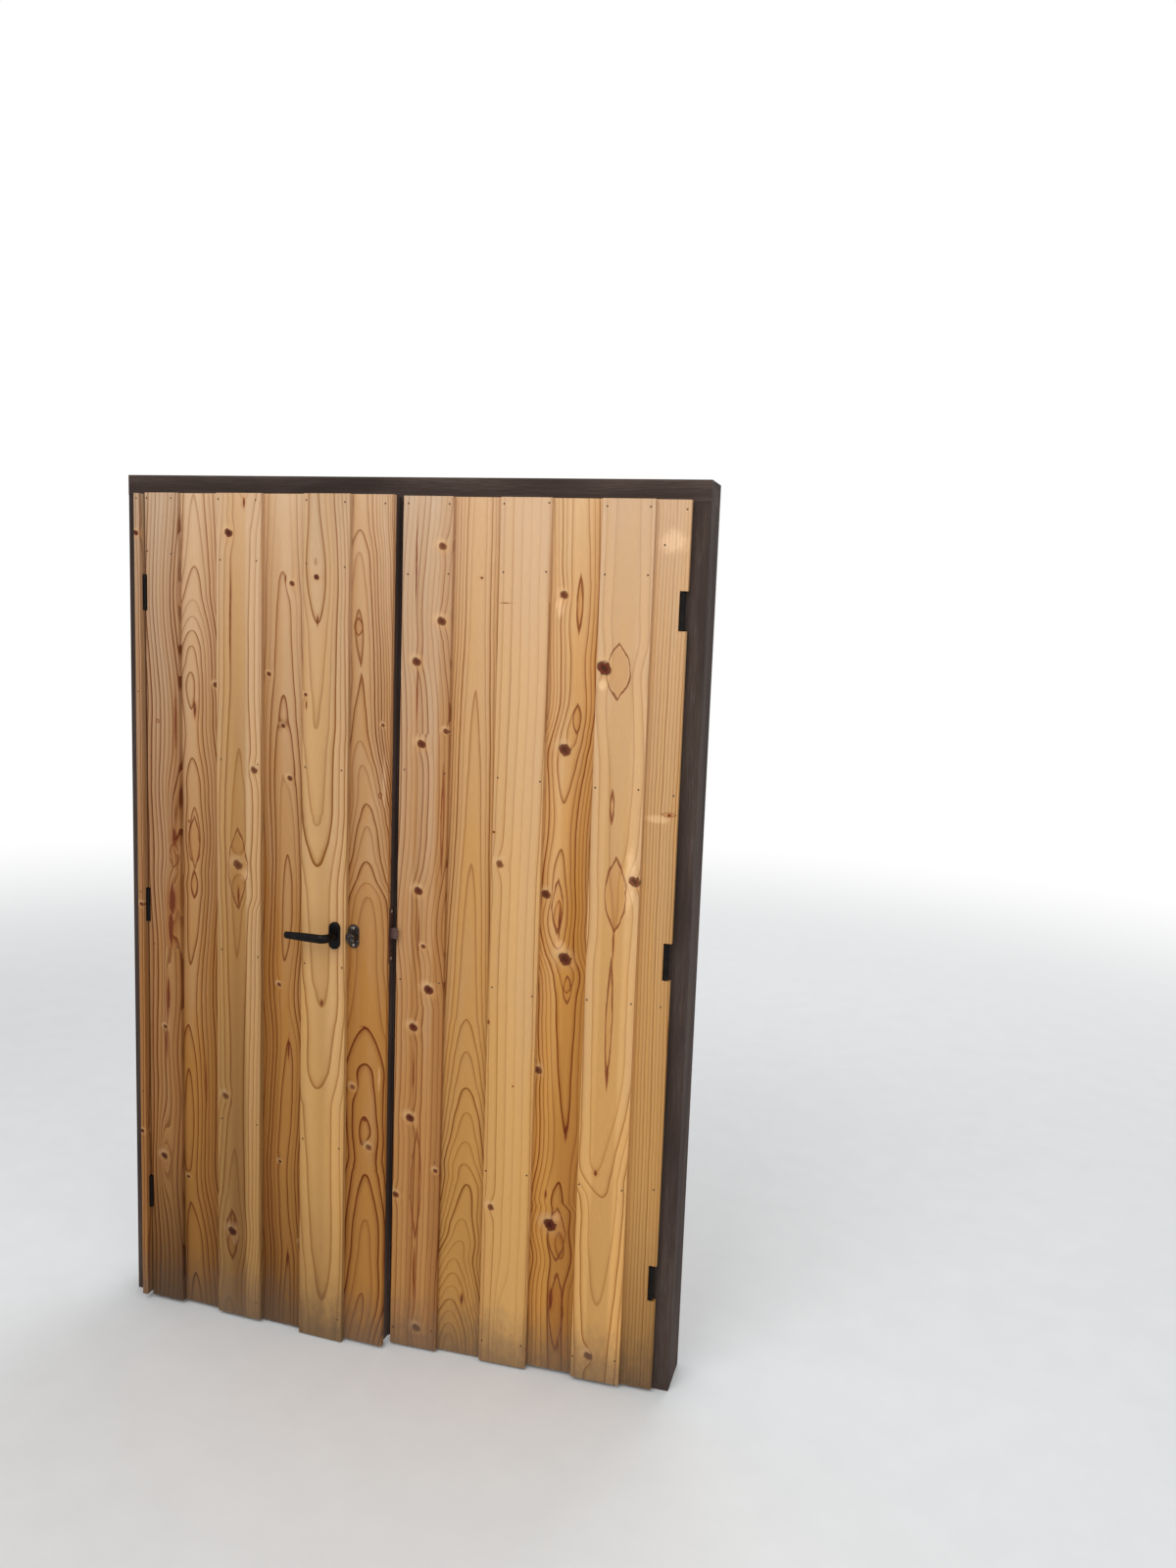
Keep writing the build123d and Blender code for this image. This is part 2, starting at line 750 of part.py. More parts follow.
with BuildPart() as thumb_turn:
    with BuildSketch(left_back.offset(end_clearance)):
        with Locations((cylinder_x, -lever_z)):
            Circle(turn_spigot_radius)
    extrude(amount=escutcheon_thick)
    with BuildSketch(left_back.offset(end_clearance + escutcheon_thick)):
        with Locations((cylinder_x, -lever_z)):
            Circle(turn_hub_radius)
    extrude(amount=turn_hub_length)
    with BuildSketch(left_back.offset(end_clearance + escutcheon_thick + turn_hub_length)):
        with Locations((cylinder_x, -lever_z)):
            SlotOverall(turn_wing_height, turn_wing_thick, rotation=90)
    extrude(amount=turn_wing_length)
    wing = thumb_turn.faces().sort_by(Axis(left_back.origin, left_back.z_dir))[-1]
    fillet(wing.edges(), arris)
    with BuildSketch(left_back.offset(end_clearance)):
        with Locations((cylinder_x, -lever_z)):
            Rectangle(tail_thick, tail_height)
    extrude(amount=turn_hub_length, mode=Mode.SUBTRACT)
save(thumb_turn, "thumb_turn")

# Right leaf: frame, packing strip, strike plate
strike_front = lock_centre - strike_width / 2
strike_recess = cut_window(right_face, 0, strike_thick, plate_low, plate_high, strike_front, strike_width)


def strike_way(low, high, thick):
    """The opening and pocket in the right leaf that take a bolt."""
    half = thick / 2 + strike_clearance
    return cut_window(
        right_face,
        0,
        strike_pocket,
        low - strike_clearance,
        high + strike_clearance,
        lock_centre - half,
        2 * half,
    )


strike_ways = (
    strike_way(latch_low, latch_low + latch_height, latch_thick),
    strike_way(dead_bolt_low, dead_bolt_low + dead_bolt_height, dead_bolt_thick),
)
right_stile_left = right_frame_width - stile_width
save(stile(right_face, 0, 1, (strike_recess,) + strike_ways), "right_meeting_stile")
save(stile(right_face, right_stile_left, -1), "right_hinge_stile")
save(rails(right_face, stile_width, right_stile_left, end_rail_heights), "right_end_rails")
save(rails(right_face, stile_width, right_stile_left, mid_rail_heights), "right_mid_rails")

with BuildPart() as right_edge_pack:
    add(cut_window(right_face, 0, pack_width, board_under_rail, rail_tops, board_thick, board_thick))
    add(strike_recess.part, mode=Mode.SUBTRACT)
save(right_edge_pack, "right_edge_pack")

with BuildPart() as strike_plate:
    add(strike_recess.part)
    for way in strike_ways:
        add(way.part, mode=Mode.SUBTRACT)
save(strike_plate, "strike_plate")

# Barrel bolts on the inner side of the meeting stile
right_back = back_of(right_face, leaf_back)


def bolt_guide(low):
    """A barrel bolt's plate with three straps bridging the rod."""
    high = low + bolt_plate_height
    strap_middle = (low + high - bolt_strap_height) / 2
    strap_feet = (low + bolt_strap_inset, strap_middle, high - bolt_strap_inset - bolt_strap_height)
    with BuildPart() as guide:
        with BuildSketch(right_back):
            with Locations((bolt_x, -(low + high) / 2)):
                RectangleRounded(bolt_plate_width, bolt_plate_height, arris)
        extrude(amount=bolt_plate_thick)
        for strap_foot in strap_feet:
            with BuildSketch(plan(right_face, strap_foot)):
                with Locations((bolt_x, leaf_back + rod_depth)):
                    Circle(bolt_bore + bolt_plate_thick)
                with Locations((bolt_x, leaf_back + (bolt_plate_thick + rod_depth) / 2)):
                    Rectangle(2 * (bolt_bore + bolt_plate_thick), bolt_bore)
                with Locations((bolt_x, leaf_back + rod_depth)):
                    Circle(bolt_bore, mode=Mode.SUBTRACT)
            extrude(amount=bolt_strap_height)
    return guide


def bolt_rod(low, knob_height):
    """A barrel bolt's rod with the knob that moves it."""
    with BuildPart() as rod:
        with BuildSketch(plan(right_face, low)):
            with Locations((bolt_x, leaf_back + rod_depth)):
                Circle(bolt_radius)
        extrude(amount=bolt_length)
        chamfer(rod.edges().filter_by(GeomType.CIRCLE), arris / 2)
        with BuildSketch(right_back.offset(rod_depth)):
            with Locations((bolt_x, -knob_height)):
                Circle(knob_radius)
        extrude(amount=knob_length)
        with Locations(right_back.offset(rod_depth + knob_length)):
            with Locations((bolt_x, -knob_height)):
                Sphere(knob_ball_radius)
    return rod


keeper_low = head_height - stop_thick - keeper_thick - leaf_base
top_guide_low = keeper_low - bolt_plate_gap - bolt_plate_height
top_rod_low = keeper_low - bolt_end_gap - bolt_length
bottom_guide_low = bolt_plate_gap
bottom_rod_low = bolt_end_gap / 2
knob_from_guide_end = bolt_strap_inset + bolt_strap_height + knob_radius + end_clearance
top_knob_height = top_guide_low + knob_from_guide_end
bottom_knob_height = bottom_guide_low + bolt_plate_height - knob_from_guide_end
save(bolt_guide(top_guide_low), "top_bolt_guide")
save(bolt_rod(top_rod_low, top_knob_height), "top_bolt")
save(bolt_guide(bottom_guide_low), "bottom_bolt_guide")
save(bolt_rod(bottom_rod_low, bottom_knob_height), "bottom_bolt")
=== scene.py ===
import logging
import math
from dataclasses import dataclass
from enum import Enum
from typing import Optional, Sequence, Union

import bmesh
import bpy
from mathutils import Matrix, Vector


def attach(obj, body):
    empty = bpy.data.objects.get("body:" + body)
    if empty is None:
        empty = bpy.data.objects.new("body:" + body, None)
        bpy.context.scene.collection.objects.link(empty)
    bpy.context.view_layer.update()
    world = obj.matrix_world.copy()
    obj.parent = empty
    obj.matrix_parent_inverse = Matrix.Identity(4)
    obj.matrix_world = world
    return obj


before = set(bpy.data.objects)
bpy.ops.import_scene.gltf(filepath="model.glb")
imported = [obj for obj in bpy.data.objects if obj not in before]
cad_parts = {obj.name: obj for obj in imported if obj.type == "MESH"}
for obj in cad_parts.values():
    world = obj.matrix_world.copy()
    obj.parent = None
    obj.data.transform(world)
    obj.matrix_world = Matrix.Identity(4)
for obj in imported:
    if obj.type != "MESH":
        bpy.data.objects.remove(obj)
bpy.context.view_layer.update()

LOG = logging.getLogger("barn_door")
NODES: dict[str, bpy.types.Object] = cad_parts
MM = 0.001
LEAF_HEIGHT = 1936.0
SHARP_ANGLE = math.radians(38)
WHITE = (1.0, 1.0, 1.0)

Colour = tuple[float, float, float]
Place = tuple[float, float, float]
Point = tuple[float, float]
Mark = tuple[float, float, float, float]
Stop = tuple[float, Sequence[float]]
Feed = Union["Signal", float, Sequence[float]]
Feeds = dict[Union[int, str], Feed]


class Signal:
    """One output of a shader node, whose operators add Math nodes."""

    def __init__(self, recipe: "Recipe", socket: Optional[bpy.types.NodeSocket]) -> None:
        """Keep an output together with the recipe that it belongs to."""
        self.recipe = recipe
        self.socket = socket

    def other(self, output: Union[int, str]) -> "Signal":
        """Another output of the same node."""
        return Signal(self.recipe, self.socket.node.outputs[output])

    def math(self, operation: str, *values: Feed) -> "Signal":
        """Add a Math node that takes these values in order."""
        return self.recipe.node("ShaderNodeMath", {"operation": operation}, dict(enumerate(values)))

    def __add__(self, other: Feed) -> "Signal":
        """Sum."""
        return self.math("ADD", self, other)

    def __radd__(self, other: Feed) -> "Signal":
        """Sum with a number on the left."""
        return self.math("ADD", other, self)

    def __sub__(self, other: Feed) -> "Signal":
        """Difference."""
        return self.math("SUBTRACT", self, other)

    def __rsub__(self, other: Feed) -> "Signal":
        """Difference from a number on the left."""
        return self.math("SUBTRACT", other, self)

    def __mul__(self, other: Feed) -> "Signal":
        """Product."""
        return self.math("MULTIPLY", self, other)

    def __rmul__(self, other: Feed) -> "Signal":
        """Product with a number on the left."""
        return self.math("MULTIPLY", other, self)

    def __truediv__(self, other: Feed) -> "Signal":
        """Quotient."""
        return self.math("DIVIDE", self, other)

    def __pow__(self, other: Feed) -> "Signal":
        """Power."""
        return self.math("POWER", self, other)

    def floor(self) -> "Signal":
        """Whole part."""
        return self.math("FLOOR", self)

    def fraction(self) -> "Signal":
        """Part after the point."""
        return self.math("FRACT", self)

    def root(self) -> "Signal":
        """Square root."""
        return self.math("SQRT", self)

    def size(self) -> "Signal":
        """Absolute value."""
        return self.math("ABSOLUTE", self)

    def sine(self) -> "Signal":
        """Sine."""
        return self.math("SINE", self)

    def bell(self) -> "Signal":
        """e to the power of minus this value."""
        return self.math("EXPONENT", self * -1.0)

    def at_least(self, other: Feed) -> "Signal":
        """Larger of two values."""
        return self.math("MAXIMUM", self, other)

    def _step(self, low: Feed, high: Feed, first: float, last: float) -> "Signal":
        """Go smoothly from the first number to the last while this goes from low to high."""
        feeds = {"Value": self, "From Min": low, "From Max": high, "To Min": first, "To Max": last}
        return self.recipe.node("ShaderNodeMapRange", {"interpolation_type": "SMOOTHSTEP"}, feeds)

    def rise(self, low: Feed, high: Feed) -> "Signal":
        """Go smoothly from 0 to 1 between two values."""
        return self._step(low, high, 0.0, 1.0)

    def fall(self, low: Feed, high: Feed) -> "Signal":
        """Go smoothly from 1 to 0 between two values."""
        return self._step(low, high, 1.0, 0.0)


class Recipe:
    """The node tree of a material or world, written as expressions."""

    def __init__(self, owner: Union[bpy.types.Material, bpy.types.World]) -> None:
        """Empty the tree of a material or world.

        Args:
            owner: The material or world.
        """
        owner.use_nodes = True
        self.tree = owner.node_tree
        self.tree.nodes.clear()

    def node(
        self, kind: str, settings: Optional[dict[str, object]] = None,
        feeds: Optional[Feeds] = None, output: Union[int, str] = 0,
    ) -> Signal:
        """Add a node, with its settings made before its sockets are fed.

        Args:
            kind: The node's type.
            settings: Its properties, and a ramp's "stops" and "blend".
            feeds: A value or a signal for each socket named.
            output: The output that is wanted.

        Returns:
            That output, or an empty signal from a node without any.
        """
        made = self.tree.nodes.new(kind)
        for key, value in (settings or {}).items():
            if key == "stops":
                self._set_stops(made.color_ramp, value)
            elif key == "blend":
                made.color_ramp.interpolation = value
            else:
                setattr(made, key, value)
        for key, value in (feeds or {}).items():
            socket = made.inputs[key]
            if isinstance(value, Signal):
                self.tree.links.new(value.socket, socket)
            elif socket.type == "RGBA":
                socket.default_value = (*value, 1.0)
            else:
                socket.default_value = value
        return Signal(self, made.outputs[output] if made.outputs else None)

    @staticmethod
    def _set_stops(ramp: bpy.types.ColorRamp, stops: Sequence[Stop]) -> None:
        """Write a ramp's stops.

        Args:
            ramp: The ramp.
            stops: Each stop's position and its four values.
        """
        while len(ramp.elements) > 1:
            ramp.elements.remove(ramp.elements[-1])
        for index, (position, values) in enumerate(sorted(stops)):
            stop = ramp.elements[0] if index == 0 else ramp.elements.new(position)
            stop.position = position
            stop.color = values

    def ramp(self, value: Signal, stops: Sequence[Stop], blend: str) -> Signal:
        """Look a value up in a ramp, whose alpha is another output."""
        return self.node("ShaderNodeValToRGB", {"blend": blend, "stops": stops}, {"Fac": value})

    def parts(self, vector: Signal) -> tuple[Signal, Signal, Signal]:
        """Split a vector or colour into its three numbers."""
        first = self.node("ShaderNodeSeparateXYZ", {}, {0: vector})
        return first, first.other(1), first.other(2)

    def noise(self, place: Sequence[Feed], detail: float = 2.0, rough: float = 0.5) -> Signal:
        """Smooth noise around 0.5.

        Args:
            place: Where it is read, in blobs.
            detail: How many finer layers it has.
            rough: How strong those are.

        Returns:
            The noise.
        """
        vector = self.node("ShaderNodeCombineXYZ", {}, dict(enumerate(place)))
        feeds = {"Vector": vector, "Scale": 1.0, "Detail": detail, "Roughness": rough}
        return self.node("ShaderNodeTexNoise", {}, feeds)

    def chance(self, value: Signal) -> Signal:
        """A random number from 0 to 1 for each value."""
        return self.node("ShaderNodeTexWhiteNoise", {"noise_dimensions": "1D"}, {"W": value})

    def mix(self, share: Feed, first: Feed, second: Feed, mode: str = "MIX") -> Signal:
        """Blend two colours, with the share of the second."""
        settings = {"data_type": "RGBA", "blend_type": mode, "clamp_factor": True}
        return self.node("ShaderNodeMix", settings, {0: share, 6: first, 7: second}, output=2)

    def scaled(self, colour: Signal, amount: Feed) -> Signal:
        """Multiply a colour by a number."""
        feeds = {"Vector": colour, "Scale": amount}
        return self.node("ShaderNodeVectorMath", {"operation": "SCALE"}, feeds)

    def bump(self, height: Signal, distance: float, strength: float) -> Signal:
        """Turn a height, whose 1 is a distance in metres, into a normal."""
        feeds = {"Height": height, "Distance": distance, "Strength": strength}
        return self.node("ShaderNodeBump", {}, feeds)

    def seen(self) -> Signal:
        """Tell rays that come from the camera, straight or by gloss or glass, from lighting ones.

        Returns:
            1 for such a ray.
        """
        camera = self.node("ShaderNodeLightPath", output="Is Camera Ray")
        glossy, through = camera.other("Is Glossy Ray"), camera.other("Is Transmission Ray")
        return camera.at_least(glossy).at_least(through)


class Along(Enum):
    """The direction that a grain or a brushing runs in."""

    WIDTH = 0
    HEIGHT = 2


class Way(Enum):
    """Where a surface looks, along a leaf, into it and up."""

    FRONT = (0, -1, 0)
    BACK = (0, 1, 0)
    LEFT = (-1, 0, 0)
    RIGHT = (1, 0, 0)
    DOWN = (0, 0, -1)


@dataclass(frozen=True)
class Placement:
    """Where a leaf's own millimetres lie: u along it, d into it and z up from its foot."""

    axis_x: float = 0.0
    axis_y: float = 0.0
    offset: float = 0.0
    swing: float = 0.0
    base: float = 0.0

    def matrix(self) -> Matrix:
        """Set the millimetres in the scene.

        Returns:
            The matrix from them to the scene's metres.
        """
        turn = Matrix.Rotation(-math.radians(self.swing), 4, "Z")
        start = Matrix.Translation((self.axis_x, self.axis_y, self.base))
        return Matrix.Scale(MM, 4) @ start @ turn @ Matrix.Translation((self.offset, 0, 0))

    def facing(self, u: float, d: float, z: float, way: Way, roll: float = 0.0) -> Matrix:
        """Stand a shape on a surface that looks one way, rolled about its own axis."""
        turn = Vector(way.value).to_track_quat("Z", "Y").to_matrix().to_4x4()
        return self.matrix() @ Matrix.Translation((u, d, z)) @ turn @ Matrix.Rotation(roll, 4, "Z")

    def read(self, recipe: Recipe) -> tuple[Signal, Signal, Signal]:
        """Read the leaf's millimetres in a material.

        Args:
            recipe: The material's recipe.

        Returns:
            The values of u, d and z.
        """
        feeds = {
            "Vector": recipe.node("ShaderNodeTexCoord", output="Object"),
            "Location": tuple(self.matrix().inverted().translation),
            "Rotation": (0, 0, math.radians(self.swing)),
            "Scale": (1 / MM,) * 3,
        }
        return recipe.parts(recipe.node("ShaderNodeMapping", {"vector_type": "POINT"}, feeds))


STRAIGHT = Placement()
LEFT_JAMB = Placement(axis_x=-615.5, axis_y=-30.0, base=10.0)
LEFT_LEAF = Placement(axis_x=-615.5, axis_y=-30.0, offset=1.5, swing=3.5, base=10.0)
RIGHT_LEAF = Placement(axis_x=18.0, axis_y=-30.0, base=10.0)


class Tone(Enum):
    """Colours of planed cedar: bleached, rich, and what a ring line multiplies them by."""

    ROSE = ((0.60, 0.415, 0.270), (0.50, 0.240, 0.078), (0.48, 0.30, 0.19))
    PEACH = ((0.66, 0.428, 0.253), (0.66, 0.362, 0.122), (0.58, 0.42, 0.26))
    HONEY = ((0.66, 0.410, 0.228), (0.60, 0.302, 0.082), (0.52, 0.35, 0.20))
    AMBER = ((0.68, 0.450, 0.265), (0.50, 0.222, 0.052), (0.46, 0.25, 0.11))
    GOLD = ((0.70, 0.445, 0.230), (0.67, 0.316, 0.073), (0.46, 0.25, 0.10))


@dataclass(frozen=True)
class Figure:
    """What the saw laid bare on one board, in its leaf's millimetres.

    Rings hold a height, the heart's place across the board, how many rings it lies below the
    surface and the rings' width. Knots hold u, z, radius and darkness, eyes u, z, half width and
    half length of a bulge in the grain, and streaks u, z, half width and half length of a stain.
    Pockets hold the same of a lens with a resinous rim, and flashes of a pale patch that is a painted
    highlight. Bands hold places across the board, from 0 to 1, and how rich its colour is there. The
    crown and the foot are how light it is at the top and the bottom, part painted shade and part
    weathering; the low darkening is how much darker the lowest part is, and the lines' strength and
    boldness are beside 1.
    """

    left: float
    right: float
    tone: Tone
    rings: tuple[Mark, ...]
    knots: tuple[Mark, ...] = ()
    eyes: tuple[Mark, ...] = ()
    streaks: tuple[Mark, ...] = ()
    pockets: tuple[Mark, ...] = ()
    flashes: tuple[Mark, ...] = ()
    bands: tuple[Point, ...] = ((0.0, 0.5), (1.0, 0.5))
    crown: float = 1.0
    foot: float = 0.8
    low_darkening: float = 0.0
    lines: float = 1.0
    bold: float = 1.0


LEFT_FIGURES = (
    Figure(
        0, 88, Tone.ROSE,
        rings=(
            (1936, -62, 0, 10.5), (1700, -66, 0, 9.6), (1500, -60, 0, 10.8), (1360, -66, 0, 11.6),
            (1250, -58, 0, 10.2), (1120, -70, 0, 12.5), (1040, -60, 0, 11), (900, -58, 0, 12),
            (760, -66, 0, 13), (640, -58, 0, 11.5), (500, -64, 0, 12.5), (300, -63, 0, 11.5),
            (120, -60, 0, 12.5), (0, -60, 0, 12),
        ),
        knots=((43, 690, 5, 0.6), (37, 365, 8, 0.85)),
        eyes=((72, 1170, 15, 80), (63, 975, 15, 85), (50, 790, 10, 90), (38, 367, 15, 95)),
        streaks=(
            (79, 1420, 3.6, 80), (73, 1150, 8, 26), (66, 1000, 12, 45), (62, 930, 9, 52),
            (52, 765, 6, 55), (47, 655, 3.0, 50),
        ),
        pockets=((72, 1110, 12, 30), (30, 1420, 4, 4)),
        bands=((0, 0.3), (0.55, 0.45), (0.78, 0.6), (0.86, 0.85), (1, 0.8)),
        foot=0.62, low_darkening=0.45, lines=1.5, bold=1.6,
    ),
    Figure(
        88, 189, Tone.AMBER,
        rings=(
            (1936, 122, 10.0, 6.2), (1775, 123, 9.0, 6.4), (1700, 118, 8.0, 6.6), (1663, 117, 7.0, 6.8),
            (1632, 116, 6.0, 7.0), (1597, 114, 5.0, 7.2), (1550, 112, 4.3, 7.4), (1510, 110, 3.6, 7.5),
            (1460, 112, 3.9, 7.5), (1400, 113, 4.4, 7.8), (1340, 115, 4.0, 8.4), (1290, 117, 3.3, 8.4),
            (1225, 119, 3.0, 8.0), (1150, 120, 2.2, 7.8), (1078, 119, 3.0, 7.5), (1040, 118, 2.6, 7.5),
            (1010, 118, 3.0, 7.5), (900, 112, 3.6, 7.5), (800, 105, 4.2, 8.2), (700, 100, 4.0, 9.2),
            (620, 100, 3.2, 9.2), (500, 100, 2.6, 9.0), (420, 98, 2.5, 9.0), (318, 97, 2.9, 9.4),
            (255, 104, 3.0, 10.5), (180, 112, 2.3, 11.0), (75, 115, 2.0, 12.0), (0, 118, 1.4, 12.0),
        ),
        knots=((178, 1510, 6, 0.6), (97, 318, 4, 0.6)),
        streaks=((122, 1450, 5, 24), (104, 1190, 2.5, 4), (150, 560, 1.6, 60)),
        pockets=((119, 1140, 15, 62), (118, 1042, 8, 32)),
        bands=((0, 0.35), (0.35, 0.3), (0.6, 0.55), (1, 0.7)),
        foot=0.59, low_darkening=0.22, lines=1.3, bold=1.45,
    ),
    Figure(
        189, 305, Tone.PEACH,
        rings=(
            (1936, 262, 4.8, 9), (1920, 262, 5.0, 9), (1850, 252, 5.2, 9), (1500, 248, 5.3, 9),
            (1300, 248, 4.8, 10), (1200, 247, 4.6, 10), (1115, 246, 4.4, 9), (1030, 247, 4.5, 9),
            (1000, 243, 4.7, 8), (800, 243, 5.2, 8), (545, 240, 5.4, 8), (300, 232, 4.5, 8),
            (265, 230, 4.0, 8), (205, 229, 3.2, 8), (142, 228, 4.0, 8), (100, 224, 4.3, 8),
            (40, 220, 4.0, 8), (0, 220, 3.6, 8),
        ),
        knots=(
            (222, 1850, 9, 1.0), (288, 1325, 8, 0.45), (245, 1103, 11, 0.55), (211, 545, 8, 0.3),
            (229, 210, 10, 0.9),
        ),
        streaks=((226, 1670, 2.4, 125), (262, 1915, 4, 14), (246, 1030, 3, 26), (225, 535, 2, 12)),
        pockets=((245, 1095, 24, 92), (229, 200, 17, 62)),
        flashes=((262, 1082, 13, 15), (236, 188, 7, 14)),
        bands=((0, 0.45), (0.2, 0.7), (0.45, 1.1), (0.62, 0.95), (0.72, 0.0), (0.95, 0.0), (1, 0.5)),
        foot=0.44, lines=1.05, bold=1.3,
    ),
    Figure(
        305, 411, Tone.AMBER,
        rings=(
            (1936, 352, 6.6, 8), (1770, 352, 6.0, 8), (1700, 355, 5.6, 8), (1600, 356, 5.3, 8),
            (1498, 356, 5.0, 9), (1428, 356, 4.6, 9), (1335, 360, 4.0, 9), (1240, 364, 3.5, 8.5),
            (1137, 368, 3.0, 8), (1050, 369, 2.5, 8), (950, 366, 2.6, 8), (860, 360, 3.2, 8),
            (780, 362, 3.6, 8), (700, 372, 3.0, 8), (600, 370, 2.4, 8), (480, 364, 2.2, 8),
            (402, 358, 2.4, 8), (330, 360, 2.5, 8), (250, 364, 2.4, 8), (180, 372, 2.0, 8),
            (90, 372, 1.6, 8), (0, 370, 1.3, 8),
        ),
        knots=(
            (376, 1743, 6, 0.55), (318, 1542, 5, 0.7), (355, 1428, 5, 0.55), (373, 1311, 6, 0.65),
            (347, 830, 5, 0.5), (351, 402, 4, 0.7), (408, 210, 5, 0.6),
        ),
        streaks=((359, 1752, 2.0, 12), (372, 680, 3.0, 30), (372, 165, 2.6, 30)),
        bands=((0, 0.95), (0.3, 0.75), (0.5, 0.45), (0.8, 0.45), (1, 0.65)),
        foot=0.66, low_darkening=0.28, lines=1.1, bold=1.25,
    ),
    Figure(
        411, 524, Tone.PEACH,
        rings=(
            (1936, 436, 4.7, 8), (1850, 440, 4.4, 8), (1758, 443, 3.9, 8), (1657, 447, 5.0, 8),
            (1600, 447, 5.4, 8.4), (1503, 446, 5.8, 9), (1425, 445, 6.0, 9.5), (1385, 445, 6.3, 9.5),
            (1240, 450, 6.8, 9.5), (1210, 450, 7.0, 9.5), (1165, 451, 7.5, 9.6), (1118, 452, 8.0, 9.5),
            (1070, 454, 8.3, 9.2), (850, 462, 8.7, 9.2), (795, 465, 9.0, 9.6), (755, 464, 9.3, 9.8),
            (640, 457, 9.6, 10), (600, 455, 10.0, 10.4), (560, 456, 10.3, 10), (200, 470, 10.6, 9),
            (85, 473, 11.0, 9), (0, 474, 11.3, 9),
        ),
        knots=((444, 1758, 6, 0.85), (419, 1502, 4, 0.5)),
        streaks=((421, 1480, 2.4, 12), (465, 806, 4, 10), (447, 1664, 2.4, 14)),
        bands=((0, 0.6), (0.2, 0.4), (0.5, 0.6), (0.75, 0.2), (0.9, 0.15), (1, 0.45)),
        crown=0.93, foot=0.81, low_darkening=0.24, lines=1.5, bold=1.8,
    ),
    Figure(
        524, 622, Tone.AMBER,
        rings=(
            (1936, 543, 15.4, 4.2), (1862, 543, 15, 4.2), (1815, 542, 14, 4.4), (1740, 542, 13.4, 4.5),
            (1655, 542, 12.8, 4.6), (1555, 549, 13.0, 4.6), (1480, 548, 12.6, 4.7),
            (1408, 548, 12.0, 4.8), (1355, 553, 11.0, 5), (1270, 565, 10.0, 5.2), (1220, 568, 9.0, 5.6),
            (1140, 568, 8.0, 6.4), (1092, 570, 7.0, 7.4), (1062, 573, 6.0, 8.6), (980, 572, 5.4, 9.5),
            (880, 572, 5.3, 10), (760, 571, 5.0, 14), (675, 571, 4.0, 16), (612, 570, 3.5, 14),
            (550, 571, 3.0, 12), (500, 574, 2.6, 11), (450, 575, 3.0, 11), (432, 575, 3.1, 12),
            (415, 575, 3.0, 13), (303, 577, 2.0, 15), (200, 574, 1.5, 15), (120, 570, 1.0, 16),
            (60, 560, 0.5, 15), (0, 548, 0.1, 14),
        ),
        knots=((604, 1445, 4, 0.5), (540, 615, 6, 0.25), (583, 478, 7, 0.3)),
        streaks=((568, 760, 8, 3), (572, 542, 6, 6)),
        pockets=((542, 1655, 10, 19), (600, 1290, 4, 6)),
        bands=((0, 0.75), (0.3, 0.55), (0.6, 0.35), (1, 0.5)),
        flashes=((609, 1320, 5, 60), (607, 645, 4, 30)),
        foot=0.75, lines=1.25, bold=1.6,
    ),
)

